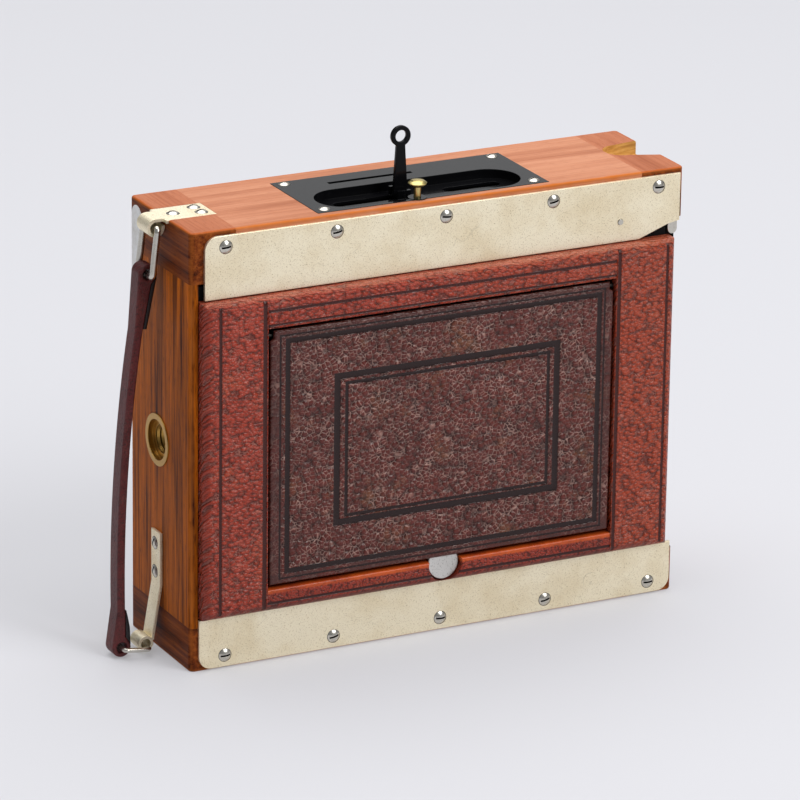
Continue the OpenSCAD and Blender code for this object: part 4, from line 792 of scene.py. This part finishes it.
def make_lid():
    """Tools the leather of the lid and finishes its catch."""
    depth = sizes().groove_depth / MM
    (x0, front, z0), (x1, _, z1) = box_mm("lid_leather")
    bm = welded("lid_leather")
    lip, pin_room = 1.3, 2.5  # how far the leather laps over at the sides, and the height it leaves to the hinge pins
    cut_at(bm, 2, (z1 - pin_room - 1, z1 - pin_room))
    for vert in bm.verts:
        if vert.co.z < z1 - pin_room - 0.5:
            vert.co.x += lip * (1 if vert.co.x > 0 else -1)
    lines = [framed_line(-57.3, 31.8, 57.0, 111.0, 1.5, depth),                      # outer frame
             framed_line(x0 + 2.2, z0 + 2.0, x1 - 2.0, z1 - 1.9, 0.4, depth * 0.6),  # hairline inside the rim
             framed_line(-39.4, 45.8, 41.4, 96.3, 2.0, depth * 1.3),                 # wide line round the middle
             framed_line(-36.0, 47.9, 38.2, 93.6, 0.9, depth)]                       # narrow line within it
    for xs, zs, _ in lines:
        cut_at(bm, 0, xs)
        cut_at(bm, 2, zs)
    tool_lines(bm, [test for _, _, test in lines], lambda co: co.y < front + 0.02, Vector((0, 1, 0)))
    piece(bm, "lid_leather_cover", "lid", "lid_leather", ["lid_leather"])
    dress("lid_board", "black_enamel", "lid_board_panel", 0.12)
    dress("disc_catch", "satin_nickel", "disc_catch_nickel", 0.12)


def make_hood():
    """Finishes the folded hood, the plate behind it and the ground glass."""
    for node in ("hood_wing_left", "hood_wing_right", "hood_wing_bottom"):
        dress(node, "black_enamel", node + "_leaf", 0.1, 1)
    dress("hood_hinge_rods", "dark_steel", "hood_hinge_pins")
    bm = welded("slide_plate")
    round_edges(bm, 0.1, 1)
    # bare wood shows at the left end of the plate's upper tongue
    tinted(bm, 1, lambda middle, normal: normal.y < -0.5 and middle.x < -84 and middle.z > 120)
    piece(bm, "slide_plate_metal", "back", "black_enamel", ["slide_plate"], others=("bare_teak",))
    paint("ground_glass", "ground_glass")
    dress("glass_clips", "brass", "glass_clips_brass", 0.08, 1)
    dress("back_catch", "nickel", "back_catch_nickel", 0.1, 1)


# Fittings


def make_strap():
    """Rounds the strap and finishes its wire loops."""
    dress("strap", "strap_leather", "strap_leather_loop", 0.55, 3, angle=50)
    dress("strap_lining", "lining_leather", "strap_lining_ply", 0.3, angle=50)
    dress("strap_loop_top", "nickel", "strap_loop_top_wire")
    dress("strap_loop_bottom", "nickel", "strap_loop_bottom_wire")


def make_top_fittings():
    """Finishes the finder plate, the sight and the release button."""
    dress("finder_plate", "black_lacquer", "finder_plate_lacquer", 0.15)
    dress("button_collar", "black_lacquer", "button_collar_lacquer", 0.15)
    dress("sight_lever", "black_lacquer", "sight_lever_lacquer", 0.25)
    dress("release_button", "pale_brass", "release_button_brass")


def make_bushes():
    """Finishes the tripod bushes and gives each a ridged brass bore, dark at the bottom."""
    half, depth, _ = case_mm()
    side_low, side_high = box_mm("tripod_bush_side")
    side = (side_low + side_high) / 2
    pitch = sizes().thread_pitch / MM
    radius, ridge = 4.79, 0.55
    side_mouth, side_deep = 1.6, 4.7        # the mouth lies this far inside the wall, and the bore is this deep
    bottom_mouth, bottom_deep = 0.05, 7.8
    # middle of the mouth, depth, a direction out from the middle, and the direction into the bore
    for node, mouth, deep, out, inward in (
            ("tripod_bush_side", (-half + side_mouth, side.y, side.z), side_deep, (0, -1, 0), (1, 0, 0)),
            ("tripod_bush_bottom", (0, depth / 2, bottom_mouth), bottom_deep, (0, 1, 0), (0, 0, 1))):
        dress(node, "brass", node + "_brass", 0.25, angle=40)
        mouth, out, inward = Vector(mouth), Vector(out), Vector(inward)
        bm = bmesh.new()
        ridges = [(radius - (ridge if i % 2 else 0.0), (i + 0.5) * pitch / 2) for i in range(2 * int(deep / pitch))]
        profile = [(radius, 0.0), *ridges, (radius, deep), (0.0, deep)]
        verts = [bm.verts.new(mouth + out * r + inward * z) for r, z in profile]
        edges = [bm.edges.new(pair) for pair in zip(verts, verts[1:])]
        bmesh.ops.spin(bm, geom=verts + edges, cent=mouth, axis=inward, angle=2 * math.pi, steps=40, use_merge=True)
        bmesh.ops.remove_doubles(bm, verts=bm.verts[:], dist=1e-4)
        bmesh.ops.recalc_face_normals(bm, faces=bm.faces[:])
        bottom = [f for f in bm.faces if (f.calc_center_median() - mouth).dot(inward) > deep - 0.01]
        if bottom and bottom[0].normal.dot(inward) > 0:
            bmesh.ops.reverse_faces(bm, faces=bm.faces[:])
        # painted shade: the bottom of the bore takes the matt black finish
        for face in bottom:
            face.material_index = 1
        piece(bm, node + "_thread", "case", "brass", smooth=20, others=("shadow_black",))


def make_label():
    """Adds a blank stadium-shaped paper label on the left side, near the front edge."""
    half, depth, _ = case_mm()
    width = sizes().label_width / MM
    low, high = 119.0, 148.0
    front_margin, thickness = 1.4, 0.12
    bm = bmesh.new()
    bmesh.ops.create_circle(bm, cap_ends=True, segments=48, radius=width / 2)
    for vert in bm.verts:
        vert.co.y += (high - low - width) / 2 * (1 if vert.co.y > 0 else -1)
        vert.co = Vector((-half, depth - front_margin - width / 2 - vert.co.x, vert.co.y + (low + high) / 2))
    bmesh.ops.recalc_face_normals(bm, faces=bm.faces[:])
    bmesh.ops.solidify(bm, geom=bm.faces[:], thickness=thickness)
    bmesh.ops.translate(bm, vec=(-half - max(v.co.x for v in bm.verts), 0, 0), verts=bm.verts[:])
    piece(bm, "paper_label", "case", "paper")


# Shutter and front


def make_shutter():
    """Finishes the shutter's curtain, rollers and knobs."""
    for node, material in (("plate_frame", "black_enamel"), ("bellows_frame", "black_enamel"),
                           ("roller_bearings", "brass"), ("strut_guides", "nickel")):
        dress(node, material, node + "_metal")
    for node in ("blind_guides", "upper_roller", "lower_roller"):
        dress(node, "dark_steel", node + "_steel")
    curtain = dress("shutter_blind", "curtain_cloth", "shutter_blind_cloth")
    for node in ("winding_knob", "tension_knob"):
        dress(node, "nickel", node + "_nickel", 0.12, angle=40)


def make_bellows():
    """Makes the pleated bellows with mitred corners, which stretch from the plate frame to the standard."""
    low, high = box_mm("bellows")
    start, end = low.y, high.y
    centre = (low.z + high.z) / 2
    half_x, half_z = (high.x - low.x) / 2, (high.z - low.z) / 2
    pleats, fold, cloth = 9, 4.5, 0.5
    valley_corner, ridge_corner = 1.2, 4.2  # how far the mitre cuts each ring's corners
    bm = bmesh.new()
    rings = []
    for i in range(2 * pleats + 1):
        inset, corner = (fold, valley_corner) if i % 2 == 0 else (0.0, ridge_corner)
        made = bmesh.ops.create_circle(bm, segments=8, radius=1.0)["verts"]
        x, z = half_x - inset, half_z - inset
        spots = [(x, z - corner), (x - corner, z), (corner - x, z), (-x, z - corner),
                 (-x, corner - z), (corner - x, -z), (x - corner, -z), (x, corner - z)]
        for vert, (across, up) in zip(made, spots):
            vert.co = Vector((across, start + (end - start) * i / (2 * pleats), centre + up))
        rings.append([e for e in bm.edges if e.verts[0] in made and e.verts[1] in made])
    for a, b in zip(rings, rings[1:]):
        bmesh.ops.bridge_loops(bm, edges=a + b)
    bmesh.ops.recalc_face_normals(bm, faces=bm.faces[:])
    bmesh.ops.solidify(bm, geom=bm.faces[:], thickness=cloth)
    ends = [Vector((0, y, 0)) * MM + Vector((0, CASE_LOW.y, 0)) for y in (start, end)]
    piece(bm, "bellows_pleats", ("case", "standard", *ends), "bellows_leather", ["bellows"], smooth=20)


def make_front():
    """Finishes the standard, the struts and the lens board."""
    dress("front_frame", "black_lacquer", "front_frame_lacquer", 0.2)
    dress("front_standard", "black_lacquer", "front_standard_lacquer", 0.2)
    for node in ("standard_brackets", "struts_lower", "struts_upper"):
        dress(node, "nickel", node + "_nickel", 0.15, 1)
    dress("lens_board", "board_wood", "lens_board_wood", 0.3)


def make_lens():
    """Finishes the lens and its rings."""
    dress("focus_ring", "black_lacquer", "focus_ring_lacquer", 0.15, angle=40)
    dress("lens_barrel", "brass", "lens_barrel_brass", 0.15, angle=40)
    paint("lens_glass", "lens_glass")
    dress("iris", "black_enamel", "iris_leaves")
    dress("aperture_ring", "nickel", "aperture_ring_nickel")


def make_wire_finder():
    """Finishes the folding frame finder."""
    dress("wire_finder", "nickel", "wire_finder_nickel")


# Stage


def make_stage():
    """Adds the floor, the lights and the world."""
    scene = bpy.context.scene
    scene.view_settings.view_transform = "Standard"
    bm = bmesh.new()
    bmesh.ops.create_grid(bm, x_segments=8, y_segments=8, size=7.0)
    mesh = bpy.data.meshes.new("floor")
    bm.to_mesh(mesh)
    bm.free()
    mesh.materials.append(new_material("floor_board", {
        "Base Color": tuple(colours().floor), "Roughness": 0.9, "Specular IOR Level": 0.1,
        "Emission Color": linear("#f6f6fa"), "Emission Strength": 0.3})[0])
    floor = bpy.data.objects.new("floor", mesh)
    scene.collection.objects.link(floor)
    world = bpy.data.worlds.new("studio")
    world.use_nodes = True
    background = world.node_tree.nodes["Background"].inputs
    background["Color"].default_value = linear("#f2f4f8")
    background["Strength"].default_value = 0.3
    scene.world = world
    aim = Vector((0, 0, 0.07))
    # each square lamp's place and size in metres, and its power in watts
    for name, place, size, power in (("overhead", (0.1, 0.3, 1.7), 1.9, 30.0), ("key", (0.9, -1.5, 1.5), 1.1, 31.0),
                                     ("far_panel", (1.0, 1.9, 1.0), 1.4, 3.0)):
        light = bpy.data.lights.new(name, "AREA")
        light.shape, light.size, light.energy = "SQUARE", size, power
        lamp = bpy.data.objects.new(name, light)
        lamp.location = place
        lamp.rotation_mode = "QUATERNION"
        lamp.rotation_quaternion = (aim - Vector(place)).to_track_quat("-Z", "Y")
        scene.collection.objects.link(lamp)


def make_camera():
    """Adds the photograph's view, from a fit of the case's corners and plates."""
    azimuth, elevation, roll = (math.radians(a) for a in (-27.154, 19.247, 0.809))
    target, distance = Vector((0, 23.3, 75)), 1837.62
    picture, focal, shift = 800, 5532.11, (-7.09, -3.47)  # in pixels of the photograph
    sensor = 36.0
    back = Vector((math.sin(azimuth) * math.cos(elevation), -math.cos(azimuth) * math.cos(elevation),
                   math.sin(elevation)))
    data = bpy.data.cameras.new("photograph")
    data.sensor_width, data.lens = sensor, focal / picture * sensor
    data.shift_x, data.shift_y = (pixels / picture for pixels in shift)
    data.clip_start, data.clip_end = 0.1, 30.0
    camera = bpy.data.objects.new("photograph", data)
    camera.rotation_mode = "QUATERNION"
    camera.location = TO_FRAME @ (target + back * distance)
    level = (-back).to_track_quat("-Z", "Y")
    camera.rotation_quaternion = level @ Matrix.Rotation(roll, 3, "Z").to_quaternion()
    bpy.context.scene.collection.objects.link(camera)
    bpy.context.scene.camera = camera


# Add-on


def operator(work):
    """An operator class that does one function's work, and takes its name and docstring from it."""
    name = work.__name__.removeprefix("make_")

    def execute(self, context):
        work()
        return {"FINISHED"}

    return type("PLATECAMERA_OT_" + name, (bpy.types.Operator,), {
        "bl_idname": "platecamera." + name, "bl_label": name.replace("_", " ").capitalize(),
        "__doc__": work.__doc__.rstrip("."), "execute": execute})


STEPS = [operator(work) for work in (
    make_stage, make_camera, make_wood, make_plates, make_screws, make_leather_frame, make_lid, make_hood, make_strap,
    make_top_fittings, make_bushes, make_shutter, make_bellows, make_front, make_lens, make_wire_finder, make_label)]


class PLATECAMERA_PT_steps(bpy.types.Panel):
    """Lists the steps and their values"""
    bl_label = "Plate camera"
    bl_space_type = "VIEW_3D"
    bl_region_type = "UI"
    bl_category = "Plate camera"

    def draw(self, context):
        for group in (context.scene.plate_camera_sizes, context.scene.plate_camera_colours):
            for key in group.bl_rna.properties.keys():
                if key not in ("rna_type", "name"):
                    self.layout.prop(group, key)
        for step in STEPS:
            self.layout.operator(step.bl_idname)


CLASSES = [PlateCameraSizes, PlateCameraColours, *STEPS, PLATECAMERA_PT_steps]


def register():
    for cls in CLASSES:
        bpy.utils.register_class(cls)
    bpy.types.Scene.plate_camera_sizes = PointerProperty(type=PlateCameraSizes)
    bpy.types.Scene.plate_camera_colours = PointerProperty(type=PlateCameraColours)


def unregister():
    del bpy.types.Scene.plate_camera_sizes
    del bpy.types.Scene.plate_camera_colours
    for cls in reversed(CLASSES):
        bpy.utils.unregister_class(cls)


def main():
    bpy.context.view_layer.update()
    register()
    for step in STEPS:
        getattr(bpy.ops.platecamera, step.bl_idname.split(".")[1])()


if __name__ == "__main__":
    main()
